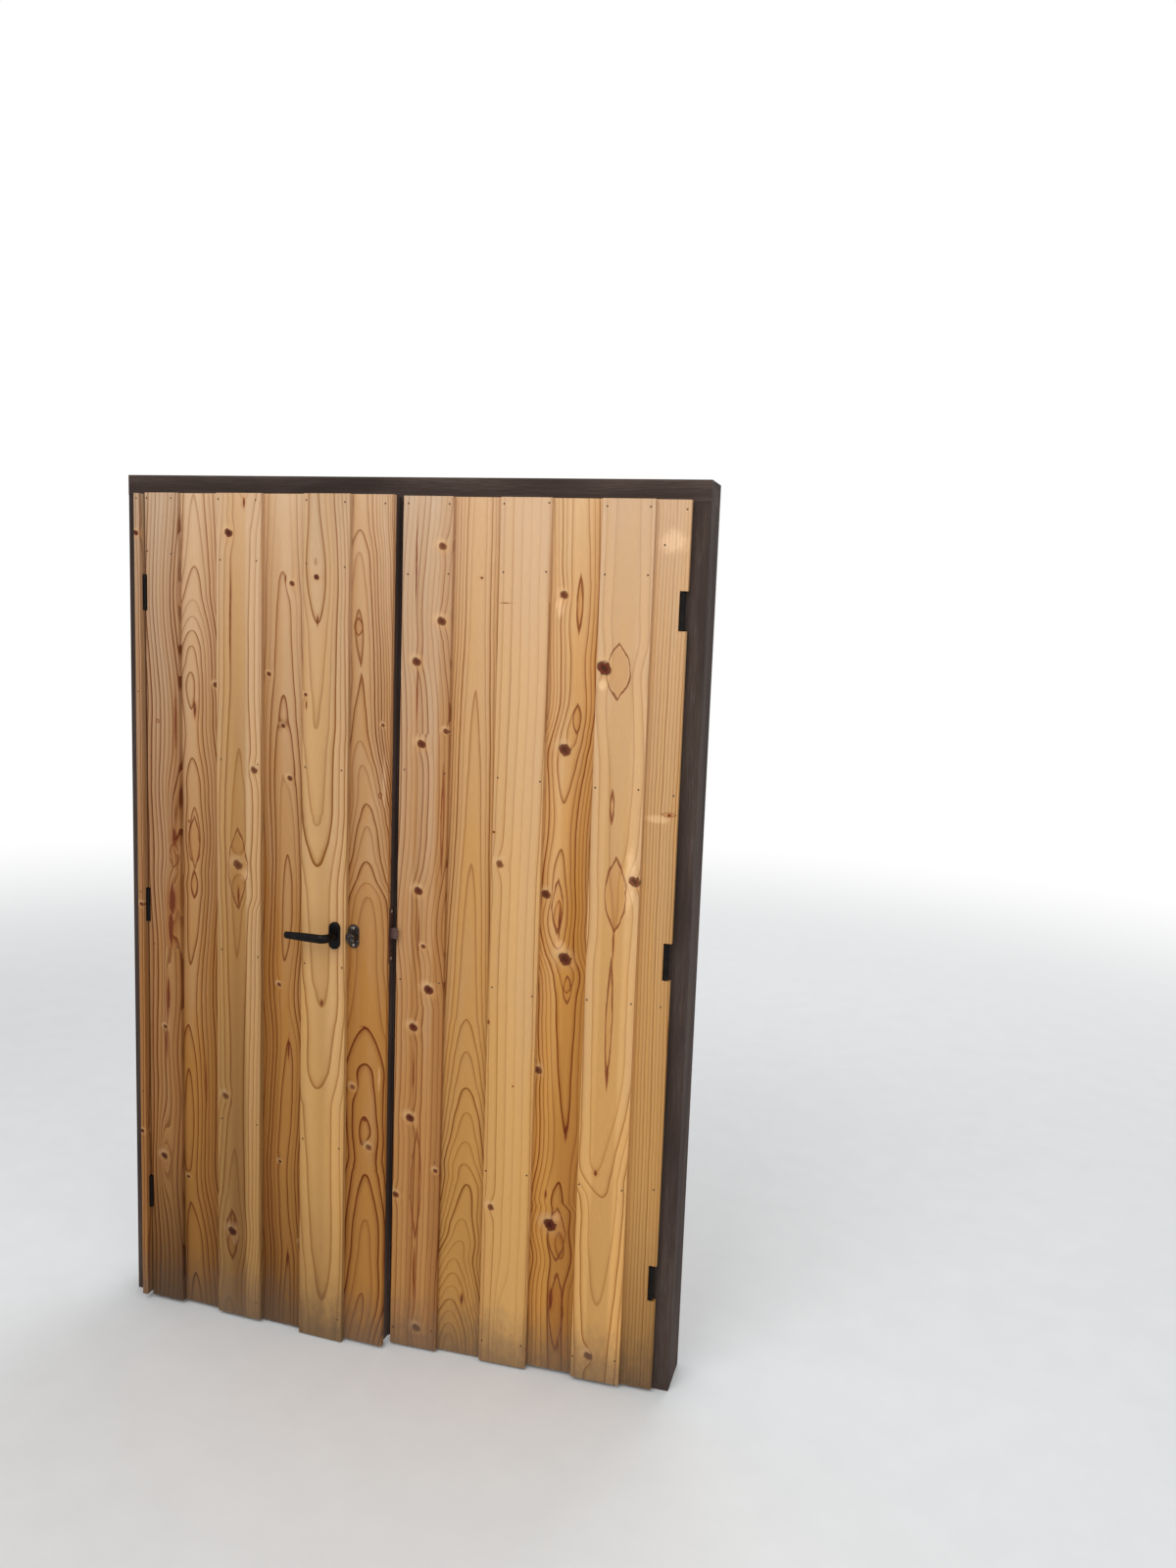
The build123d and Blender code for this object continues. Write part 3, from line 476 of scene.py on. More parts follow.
RIGHT_FIGURES = (
    Figure(
        0, 114, Tone.ROSE,
        rings=(
            (1936, -60, 0, 12.5), (1700, -66, 0, 11.5), (1500, -57, 0, 12.2), (1200, -61, 0, 13.0),
            (1000, -66, 0, 11.6), (860, -58, 0, 12.5), (500, -62, 0, 13.0), (200, -60, 0, 12.4),
            (0, -62, 0, 12.2),
        ),
        knots=(
            (92, 1832, 8, 0.5), (93, 1674, 9, 0.75), (37, 1585, 9, 0.8), (108, 1438, 6, 0.6),
            (52, 1407, 9, 0.85), (51, 1080, 9, 0.9), (65, 955, 5, 0.6), (80, 857, 10, 1.0),
            (45, 766, 9, 0.9), (41, 552, 9, 0.95), (105, 435, 5, 0.6), (9, 363, 7, 0.7),
            (66, 45, 9, 0.8),
        ),
        streaks=(
            (33, 1800, 2, 110), (40, 1520, 2, 70), (54, 980, 2, 60), (47, 660, 2, 60),
            (57, 180, 2.6, 75),
        ),
        pockets=((58, 395, 12, 125), (104, 1240, 3, 90)),
        bands=((0, 0.3), (0.28, 0.4), (0.36, 0.75), (0.5, 0.5), (0.72, 0.35), (0.82, 0.75), (1, 0.9)),
        foot=0.90, lines=0.9, bold=1.15,
    ),
    Figure(
        114, 220, Tone.HONEY,
        rings=(
            (1936, 170, 19.5, 3.6), (1530, 170, 19, 3.7), (1150, 170, 18, 4.0), (795, 167, 17, 4.4),
            (722, 168, 16, 4.6), (637, 170, 15, 4.8), (580, 173, 14, 5.0), (510, 172, 13, 5.2),
            (457, 170, 12, 5.4), (410, 177, 11, 5.4), (325, 168, 10, 5.6), (272, 165, 9, 5.8),
            (225, 152, 8, 6.0), (190, 150, 7, 6.4), (158, 148, 6, 7.0), (125, 145, 5, 7.6),
            (95, 143, 4, 8.4), (65, 143, 3, 9), (40, 143, 2, 9), (0, 142, 1, 9),
        ),
        streaks=((172, 130, 4, 16), (178, 1768, 4, 3)),
        bands=((0, 0.35), (0.5, 0.5), (0.8, 0.35), (1, 0.6)),
        foot=0.77, lines=1.2, bold=1.3,
    ),
    Figure(
        220, 331, Tone.PEACH,
        rings=(
            (1936, 150, 0, 24), (1500, 152, 0, 26), (1000, 144, 0, 25), (400, 150, 0, 26),
            (0, 148, 0, 25),
        ),
        knots=((239, 1157, 8, 0.35), (240, 370, 7, 0.5)),
        eyes=((270, 70, 17, 125),),
        streaks=((235, 1717, 15, 1.2), (222, 1226, 5, 3), (222, 800, 4, 6), (283, 660, 2.4, 3)),
        bands=((0, 0.6), (0.3, 0.45), (0.5, 0.35), (0.9, 0.4), (1, 0.55)),
        foot=0.91, lines=0.6, bold=1.1,
    ),
    Figure(
        331, 439, Tone.GOLD,
        rings=(
            (1936, 390, 5.4, 7), (1775, 395, 5.0, 6.6), (1720, 395, 4.85, 6.6), (1665, 395, 5.0, 6.6),
            (1600, 396, 5.4, 6.6), (1508, 398, 5.0, 6.4), (1460, 390, 4.4, 6.4), (1413, 380, 4.2, 6.8),
            (1350, 376, 5.4, 6.6), (1250, 374, 6.2, 6.2), (1130, 369, 5.4, 6.4), (1070, 369, 4.8, 6.6),
            (1010, 371, 5.0, 6.4), (958, 382, 5.6, 6.4), (925, 393, 6.0, 6.4), (880, 395, 7.0, 6.4),
            (780, 396, 7.4, 6.6), (700, 398, 7.6, 6.6), (620, 401, 7.8, 6.6), (560, 403, 8.0, 6.6),
            (480, 397, 8.2, 6.4), (400, 390, 7.5, 6.4), (385, 398, 7.0, 6.6), (330, 392, 6.4, 6.6),
            (265, 403, 7.0, 6.6), (200, 395, 7.4, 6.8), (100, 395, 7.5, 6.8), (0, 398, 7.6, 7),
        ),
        knots=(
            (360, 1738, 8, 0.6), (373, 1413, 12, 0.85), (342, 1097, 9, 0.85), (389, 958, 13, 0.95),
            (337, 700, 8, 0.6), (376, 345, 13, 1.0),
        ),
        streaks=(
            (374, 1035, 3, 42), (404, 565, 4, 22), (364, 415, 3, 12), (384, 168, 6, 34),
            (404, 60, 3, 20),
        ),
        pockets=(
            (395, 1720, 6, 55), (398, 1480, 9, 30), (369, 1072, 12, 58), (397, 890, 10, 30),
            (392, 325, 20, 62), (397, 140, 16, 92),
        ),
        bands=((0, 0.3), (0.3, 0.25), (0.45, 0.6), (0.6, 0.85), (0.85, 0.9), (1, 0.6)),
        flashes=((352, 1715, 9, 26), (378, 985, 12, 16), (392, 366, 9, 12)),
        foot=0.73, lines=1.3, bold=1.4,
    ),
    Figure(
        439, 550, Tone.PEACH,
        rings=(
            (1936, 495, 4.5, 12), (1700, 497, 4.3, 12), (1640, 497, 4.2, 12), (1585, 485, 4.1, 12),
            (1525, 490, 4.2, 12), (1400, 500, 4.4, 12), (1145, 500, 4.8, 12), (1030, 500, 5.0, 12),
            (960, 496, 5.0, 12), (830, 496, 5.1, 12), (700, 497, 5.2, 12), (600, 490, 5.5, 11),
            (490, 480, 6.0, 10), (435, 495, 7.0, 9), (300, 495, 7.5, 9), (180, 494, 8.0, 9),
            (0, 494, 8.5, 9),
        ),
        knots=((455, 1590, 14, 1.0), (539, 1145, 11, 0.65), (479, 57, 9, 0.65)),
        streaks=((499, 1010, 2.4, 40), (497, 720, 3.0, 22), (480, 488, 5, 8)),
        pockets=((485, 1584, 25, 58), (484, 1300, 4, 30), (499, 1112, 23, 80), (496, 830, 7, 130)),
        bands=((0, 0.35), (0.25, 0.35), (0.33, 0.62), (0.68, 0.58), (0.78, 0.2), (1, 0.25)),
        flashes=((452, 1556, 10, 12), (530, 1150, 11, 70)),
        crown=0.95, foot=0.95, lines=1.15, bold=1.3,
    ),
    Figure(
        550, 622, Tone.PEACH,
        rings=((1936, 450, 0, 7.6), (1200, 448, 0, 7.4), (500, 451, 0, 7.6), (0, 450, 0, 7.8)),
        streaks=((605, 1290, 5, 4),),
        pockets=((604, 1291, 14, 5),),
        flashes=((588, 1852, 30, 26), (580, 1280, 28, 9)),
        bands=((0, 0.6), (0.5, 0.5), (1, 0.6)),
        foot=0.80, low_darkening=0.33, lines=1.05, bold=1.1,
    ),
)

LEFT_NAILS = (
    (6, 1924), (70, 1924), (195, 1923), (291, 1921), (418, 1922), (512, 1918), (602, 1917),
    (6, 1806), (70, 1801), (200, 1790), (293, 1790), (419, 1787), (513, 1781),
    (12, 1338), (201, 1343), (297, 1338), (419, 1341), (510, 1340),
    (15, 890), (78, 888), (202, 899), (298, 892), (421, 893), (516, 894),
    (200, 487), (296, 487), (419, 475), (513, 467),
    (74, 20), (294, 42), (514, 47),
)
RIGHT_NAILS = (
    (12, 1920), (105, 1920), (227, 1922), (325, 1925), (449, 1920), (540, 1920), (613, 1917),
    (13, 1771), (106, 1774), (229, 1781), (323, 1784), (449, 1782), (540, 1783), (570, 1845),
    (13, 1348), (107, 1345), (229, 1345), (324, 1343), (446, 1339), (539, 1341), (612, 1332),
    (11, 874), (104, 875), (229, 880), (322, 870), (445, 877), (543, 879), (605, 876),
    (103, 454), (226, 454), (322, 458), (443, 457), (540, 458), (608, 465),
    (8, 36), (103, 43), (227, 45), (321, 50), (443, 50), (540, 57),
)


class Finish:
    """A finish, which says what the surface shader takes and dresses pieces."""

    def feeds(self, recipe: Recipe) -> Feeds:
        """Write into a recipe what the surface shader takes."""
        raise NotImplementedError

    def build(self, name: str) -> bpy.types.Material:
        """Make the finish's material.

        Args:
            name: The material's name.

        Returns:
            The material.
        """
        material = bpy.data.materials.new(name)
        recipe = Recipe(material)
        shader = recipe.node("ShaderNodeBsdfPrincipled", {}, self.feeds(recipe))
        recipe.node("ShaderNodeOutputMaterial", {}, {"Surface": shader})
        return material

    def dress(self, name: str, *nodes: str) -> None:
        """Make the material and give it to CAD nodes in their own slots.

        Args:
            name: The material's name.
            nodes: The nodes, or none where one node has the material's name.
        """
        material = self.build(name)
        for node in nodes or (name,):
            piece = NODES[node]
            if not piece.material_slots:
                piece.data.materials.append(material)
            for slot in piece.material_slots:
                slot.material = material
            LOG.info("dressed %s", node)


@dataclass(frozen=True)
class Spot:
    """The point of a board that is being coloured, in its leaf's millimetres.

    The height is z from 0 at the foot to 1 at the top, the place across is u swayed with the
    grain, and the cloud is a slow variation.
    """

    recipe: Recipe
    u: Signal
    d: Signal
    z: Signal
    height: Signal
    across: Signal
    cloud: Signal

    def nearest(self, marks: Sequence[Mark], across: Signal) -> tuple[Signal, ...]:
        """Find the mark that is nearest in height, with a ramp of constant steps.

        Args:
            marks: Each mark's four numbers, the first two its u and z.
            across: The place across the board that it is measured from.

        Returns:
            How far the spot is from the mark across and up, and the mark's last two numbers.
        """
        spans = (LEAF_HEIGHT, LEAF_HEIGHT, 100.0)
        ordered = sorted(marks or ((-500.0, 0.0, 1.0, 0.0),), key=lambda mark: mark[1])
        last = max(1.0, max(mark[3] for mark in ordered))
        stops = []
        for index, mark in enumerate(ordered):
            below = ordered[index - 1][1] if index else -mark[1]
            start = (below + mark[1]) / 2 / LEAF_HEIGHT
            values = tuple(max(0.0, value) / span for value, span in zip(mark, spans))
            stops.append((start, (*values, mark[3] / last)))
        found = self.recipe.ramp(self.height, stops, "CONSTANT")
        place = [part * span for part, span in zip(self.recipe.parts(found), spans)]
        return across - place[0], self.z - place[1], place[2], found.other("Alpha") * last


@dataclass(frozen=True)
class CedarBoard(Finish):
    """Planed cedar with one board's figure, knots and stains."""

    figure: Figure
    place: Placement
    front: float
    # Painted shade: how dark the whole board is at its top, below 1 on the shaded left leaf.
    painted_top_shade: float
    seed: float

    ring_spans = (1000.0, 20.0, 20.0)
    heart_start = 0.2
    brown_band = (1.0, 0.78, 0.64)
    resin_halo, resin = (0.80, 0.55, 0.38), (0.17, 0.032, 0.011)
    pocket_fill, pocket_rim = (0.86, 0.68, 0.50), (0.22, 0.055, 0.016)
    painted_grain_highlight = (0.86, 0.68, 0.47)
    knot_halo, knot_sheen = (0.66, 0.34, 0.13), (0.84, 0.60, 0.34)
    knot_heart = ((0.34, 0.13, 0.042), (0.060, 0.007, 0.004))
    knot_edge = ((0.46, 0.21, 0.075), (0.175, 0.026, 0.010))
    knot_turns, knot_crack = (0.50, 0.36, 0.32), (0.010, 0.005, 0.004)
    knot_collar = (0.050, 0.015, 0.008)
    foot_dirt = (0.150, 0.100, 0.066)

    def feeds(self, recipe: Recipe) -> Feeds:
        """Saw the board from its rings, and lay stains, knots, weather and painted shade over it.

        Args:
            recipe: The material's recipe.

        Returns:
            What the surface shader takes.
        """
        figure, seed = self.figure, self.seed
        u, d, z = self.place.read(recipe)
        sway = (recipe.noise((u / 70 + seed, d / 50, z / 240)) - 0.5) * 7
        ripple = (recipe.noise((u / 14, d / 30 + seed, z / 70)) - 0.5) * 2.2
        cloud = recipe.noise((u / 38 + seed, d / 60, z / 330), 3.0, 0.55)
        spot = Spot(recipe, u, d, z, z / LEAF_HEIGHT, u + sway + ripple, cloud)
        knot = spot.nearest(figure.knots, u)
        ring, line, shade = self._grain(spot, knot)
        fibre = recipe.noise((u * 0.9, d * 0.9, z / 26 + seed), 3.0, 0.6)
        colour = self._ground(spot, ring)
        for share in (shade * 0.42, line * 0.9):
            colour = recipe.mix(share, colour, figure.tone.value[2], "MULTIPLY")
        colour = recipe.scaled(colour, fibre * 0.30 + 0.85)
        for marks, lay in (
            (figure.streaks, self._stain), (figure.pockets, self._rim), (figure.flashes, self._flash),
        ):
            if marks:
                colour = lay(spot, colour)
        colour, body = self._knots(spot, colour, knot)
        return {
            "Base Color": self._shade_and_weather(spot, colour),
            "Roughness": 0.55 + fibre * 0.16 - body * 0.1,
            "Specular IOR Level": 0.1,
            "Normal": recipe.bump(fibre * 0.35 + line * 0.4 + body * 0.5, 0.0005, 0.6),
        }

    @staticmethod
    def _hill(along: Signal, up: Signal, half_width: Feed, half_length: Feed) -> Signal:
        """A smooth hill, 1 at its middle, at a distance along and up from it."""
        side, rise = along / half_width, up / half_length
        return (side * side + rise * rise).bell()

    def _rings(self, spot: Spot) -> list[Signal]:
        """Read the rings at the spot's height.

        Args:
            spot: The spot.

        Returns:
            The heart's place, its depth in rings and the rings' width.
        """
        start = (self.heart_start, 0.0, 0.0)
        stops = []
        for z, *ring in self.figure.rings:
            shares = [value / span + low for value, span, low in zip(ring, self.ring_spans, start)]
            stops.append((min(1.0, z / LEAF_HEIGHT), (*shares, 1.0)))
        heart, *others = spot.recipe.parts(spot.recipe.ramp(spot.height, stops, "CARDINAL"))
        found = (heart - self.heart_start, *others)
        return [share * span for share, span in zip(found, self.ring_spans)]

    def _grain(self, spot: Spot, knot: Sequence[Signal]) -> tuple[Signal, Signal, Signal]:
        """Cut the board's surface out of the tree's rings.

        Args:
            spot: The spot.
            knot: The nearest knot.

        Returns:
            The ring's number, its line and the shade behind the line.
        """
        along, up, radius, _ = knot
        drift = self._hill(along, up, radius * 2.3, radius * 3.4) * radius * 0.075
        heart, depth, width = self._rings(spot)
        if self.figure.eyes:
            eye = spot.nearest(self.figure.eyes, spot.u)
            drift = drift + self._hill(*eye) * eye[2] / width * 1.9
        offset = (spot.across - heart) / width
        below = depth + (spot.d - self.front) / width
        field = (offset * offset + below * below).root().at_least(0.05)
        value = field + drift
        ring, inward = value.floor(), 1.0 - value.fraction()
        slope = (offset.size() / field / width + 0.02) * self.figure.bold
        bleach = spot.height.rise(0.70, 1.05) * -0.5 + 1.0
        chance = spot.recipe.chance(ring + self.seed)
        strength = (chance ** 1.5 * 0.75 + 0.3) * bleach * self.figure.lines
        line = inward.fall(slope * 0.8, slope * 2.5) * strength
        return ring, line, inward.fall(slope * 0.4, slope * 7.0) * strength

    def _ground(self, spot: Spot, ring: Signal) -> Signal:
        """The wood's colour between its lines.

        Args:
            spot: The spot.
            ring: The number of its ring.

        Returns:
            The colour.
        """
        recipe, figure = spot.recipe, self.figure
        light, deep, _ = figure.tone.value
        share = (spot.u - figure.left) / (figure.right - figure.left)
        stops = [(place, (value,) * 3 + (1.0,)) for place, value in figure.bands]
        band = recipe.parts(recipe.ramp(share, stops, "EASE"))[0]
        # Paler towards the top and richer downwards: part the wood's own weathering, part painted light
        # from above.
        depth = (1.0 - spot.height).at_least(0.0) ** 0.7 * 1.3
        tint = (recipe.chance(ring * 1.7 + self.seed + 3.1) - 0.5) * 0.16
        rich = depth + (band - 0.45) * 0.5 + (spot.cloud - 0.5) * 0.6 + tint
        brown = (band - 0.45) * depth * 0.45
        colour = recipe.mix(rich, light, deep)
        colour = recipe.mix(brown.at_least(0.0) * 1.8, colour, self.brown_band, "MULTIPLY")
        return recipe.scaled(colour, 1.0 - brown)

    def _stain(self, spot: Spot, colour: Signal) -> Signal:
        """Lay red-brown resin streaks over the wood.

        Args:
            spot: The spot.
            colour: Its colour so far.

        Returns:
            The stained colour.
        """
        recipe = spot.recipe
        along, up, half_width, half_length = spot.nearest(self.figure.streaks, spot.across)
        side, rise = along / half_width, up / half_length
        edge = recipe.noise((spot.across / 5, self.seed, spot.z / 22), 2.0, 0.5)
        reach = side.size() + rise * rise + (edge - 0.5) * 0.7
        colour = recipe.mix(reach.fall(0.8, 2.6) * 0.4, colour, self.resin_halo, "MULTIPLY")
        return recipe.mix(reach.fall(0.45, 1.05) * 0.92, colour, self.resin)

    def _rim(self, spot: Spot, colour: Signal) -> Signal:
        """Draw the dark rims of resin pockets.

        Args:
            spot: The spot.
            colour: Its colour so far.

        Returns:
            The colour with rims.
        """
        recipe = spot.recipe
        along, up, half_width, half_length = spot.nearest(self.figure.pockets, spot.u)
        edge = recipe.noise((spot.u / 16, self.seed + 5.0, spot.z / 42)) - 0.5
        side, rise = along / half_width + edge * 0.6, up / half_length
        reach = side.size() + rise * rise
        off = (reach - 1.0).size() * half_width
        thick = (rise + edge * 2.0).size() * 1.8 + 1.2
        colour = recipe.mix(reach.fall(0.7, 1.1) * 0.35, colour, self.pocket_fill, "MULTIPLY")
        return recipe.mix((off / thick).fall(0.4, 1.25) * 0.85, colour, self.pocket_rim)

    def _flash(self, spot: Spot, colour: Signal) -> Signal:
        """Brighten the patches where lifted grain catches the light.

        Args:
            spot: The spot.
            colour: Its colour so far.

        Returns:
            The colour with pale patches.
        """
        recipe = spot.recipe
        along, up, half_width, half_length = spot.nearest(self.figure.flashes, spot.u)
        side, rise = along / half_width, up / half_length
        edge = recipe.noise((spot.u / 9, self.seed + 8.0, spot.z / 14), 3.0, 0.6)
        reach = (side * side + rise * rise).root() + (edge - 0.5) * 0.9
        # Painted highlight: pale patches where lifted grain catches the light.
        pale = recipe.mix(0.16, recipe.scaled(colour, 1.26), self.painted_grain_highlight)
        return recipe.mix(reach.fall(0.4, 1.3), colour, pale)

    def _knots(
        self, spot: Spot, colour: Signal, knot: Sequence[Signal]
    ) -> tuple[Signal, Signal]:
        """Lay the nearest knot over the wood.

        Args:
            spot: The spot.
            colour: Its colour so far.
            knot: The distances from the knot, its radius and its darkness.

        Returns:
            The colour with the knot, and where the knot is.
        """
        recipe = spot.recipe
        along, up, radius, darkness = knot
        wobble = recipe.noise((along / 9, (self.seed + spot.d) / 7, up / 9), 3.0, 0.55)
        tilted = along + up * ((wobble - 0.5) * 2.0 + 0.25)
        reach = (tilted * tilted + up * up * 1.1).root() / radius + (wobble - 0.5) * 0.7
        halo, body = reach.fall(1.0, 3.0), reach.fall(0.80, 1.10)
        collar = ((reach - 0.97) * (reach - 0.97) * 40).bell()
        turns = (reach * 14).sine() * 0.5 + 0.5
        split = (along * 0.8 + up * 0.6 + (wobble - 0.5) * 9).size()
        crack = split.fall(0.3, 1.2) * reach.fall(0.5, 0.8)
        colour = recipe.mix(halo * 0.40, colour, self.knot_halo)
        pale = halo * ((up - along * 0.4) / radius).rise(-0.6, 1.8)
        colour = recipe.mix(pale * 0.26, colour, self.knot_sheen)
        dark = darkness ** 0.6
        heart = recipe.mix(dark, *self.knot_heart)
        outer = recipe.mix(dark, *self.knot_edge)
        heart = recipe.mix(reach.rise(0.25, 0.8), heart, outer)
        heart = recipe.mix(turns * 0.5, heart, self.knot_turns, "MULTIPLY")
        heart = recipe.mix(crack * darkness, heart, self.knot_crack)
        colour = recipe.mix(body * 0.96, colour, heart)
        return recipe.mix(collar * (darkness * 0.5 + 0.3), colour, self.knot_collar), body

    def _shade_and_weather(self, spot: Spot, colour: Signal) -> Signal:
        """Deepen the board downwards, part painted shade and part weathering, and grey its foot.

        Args:
            spot: The spot.
            colour: Its colour so far.

        Returns:
            The weathered colour.
        """
        recipe, z, cloud = spot.recipe, spot.z, spot.cloud
        foot, crown = self.figure.foot, self.figure.crown * self.painted_top_shade
        # Painted shade together with weathering: lighter at the top, darker towards the foot, and a
        # whole leaf darker by its painted top shade.
        colour = recipe.scaled(colour, spot.height * (crown - foot) + foot + (cloud - 0.5) * 0.12)
        splash = recipe.noise((spot.u / 16, self.seed, z / 30), 4.0, 0.6)
        dirt = (z + (splash - 0.5) * 120 + (cloud - 0.5) * 60).fall(-30, 165)
        colour = recipe.mix(dirt * 0.78, colour, self.foot_dirt)
        # Darker still towards the bottom.
        return recipe.scaled(colour, 1.0 - z.fall(50, 480) * self.figure.low_darkening)


def stretched(
    place: Sequence[Signal], along: Along, lengthwise: float, crosswise: float
) -> list[Signal]:
    """Divide a place by one length along the grain and by another across it."""
    return [
        value / (lengthwise if index == along.value else crosswise)
        for index, value in enumerate(place)
    ]


@dataclass(frozen=True)
class OldTimber(Finish):
    """Dark stained timber, greyed along its raised grain."""

    along: Along
    place: Placement = STRAIGHT
    dark: Colour = (0.036, 0.024, 0.020)
    mid: Colour = (0.085, 0.055, 0.043)
    silver: Colour = (0.17, 0.145, 0.135)
    greying: float = 0.45
    seed: float = 0.0

    layers = ((260, 9, 4.0, 0.62), (45, 1.3, 3.0, 0.6), (420, 60, 3.0, 0.5))

    def feeds(self, recipe: Recipe) -> Feeds:
        """Draw the timber's grain, fibre and clouds.

        Args:
            recipe: The material's recipe.

        Returns:
            What the surface shader takes.
        """
        place = self.place.read(recipe)
        noises = []
        for lengthwise, crosswise, detail, rough in self.layers:
            drawn = stretched(place, self.along, lengthwise, crosswise)
            noises.append(recipe.noise([value + self.seed for value in drawn], detail, rough))
        grain, fibre, cloud = noises
        rings = ((grain * 26).sine() * 0.5 + 0.5) ** 2.0
        colour = recipe.mix(cloud.rise(0.25, 0.75), self.dark, self.mid)
        colour = recipe.mix(rings * 0.45, colour, self.dark)
        grey = (fibre.rise(0.42, 0.8) * cloud.rise(0.3, 0.65)) * self.greying
        return {
            "Base Color": recipe.mix(grey, colour, self.silver),
            "Roughness": 0.72 + fibre * 0.2,
            "Specular IOR Level": 0.12,
            "Normal": recipe.bump(rings * -0.4 + fibre * 0.8, 0.0008, 0.7),
        }


@dataclass(frozen=True)
class PaintedIron(Finish):
    """Black paint over iron, rubbed and dusty in places."""

    place: Placement = STRAIGHT
    paint: Colour = (0.0045, 0.0036, 0.0034)
    worn: Colour = (0.055, 0.040, 0.033)
    wear: float = 0.35
    gloss: float = 0.28

    def feeds(self, recipe: Recipe) -> Feeds:
        """Rub the paint in patches and scratches.

        Args:
            recipe: The material's recipe.

        Returns:
            What the surface shader takes.
        """
        place = self.place.read(recipe)
        skin = recipe.noise([value / 1.6 for value in place], 3.0, 0.6)
        patch = recipe.noise([value / 14 for value in place], 4.0, 0.65)
        scratch = recipe.noise(stretched(place, Along.HEIGHT, 9, 0.5), 2.0, 0.5)
        rub = patch.rise(0.5, 0.78) * self.wear + scratch.rise(0.66, 0.8) * self.wear * 0.5
        return {
            "Base Color": recipe.mix(rub, self.paint, self.worn),
            "Roughness": self.gloss + skin * 0.14 + rub * 0.3,
            "Metallic": rub * 0.6,
            "Specular IOR Level": 0.11,
            "Normal": recipe.bump(skin * 0.6 + patch * 0.6, 0.00018, 0.55),
        }


@dataclass(frozen=True)
class DulledMetal(Finish):
    """Bare or plated metal with brushing, stains and small pits."""

    place: Placement = STRAIGHT
    clean: Colour = (0.42, 0.39, 0.36)
    stained: Colour = (0.15, 0.11, 0.085)
    staining: float = 0.6
    gloss: float = 0.30
    brushed: Along = Along.HEIGHT
    cover: Point = (0.38, 0.72)

    def feeds(self, recipe: Recipe) -> Feeds:
        """Brush, stain and pit the metal.

        Args:
            recipe: The material's recipe.

        Returns:
            What the surface shader takes.
        """
        place = self.place.read(recipe)
        brush = recipe.noise(stretched(place, self.brushed, 14, 0.45), 3.0, 0.55)
        spot = recipe.noise([value / 5.5 for value in place], 4.0, 0.65)
        pit = recipe.noise([value / 0.9 for value in place], 2.0, 0.5)
        stain = spot.rise(*self.cover) * self.staining
        colour = recipe.mix(stain, self.clean, self.stained)
        return {
            "Base Color": recipe.scaled(colour, brush * 0.3 + 0.85),
            "Roughness": self.gloss + brush * 0.12 + stain * 0.35,
            "Metallic": 1.0 - stain * 0.5,
            "Normal": recipe.bump(brush * 0.5 + pit.rise(0.3, 0.6) * 0.5, 0.00012, 0.5),
        }


def mesh_object(shape: bmesh.types.BMesh, name: str) -> bpy.types.Object:
    """Turn a finished bmesh, in metres, into an object at the origin.

    Args:
        shape: The shape, which is freed.
        name: The object's name.

    Returns:
        The object.
    """
    data = bpy.data.meshes.new(name)
    shape.to_mesh(data)
    shape.free()
    made = bpy.data.objects.new(name, data)
    bpy.context.scene.collection.objects.link(made)
    return made


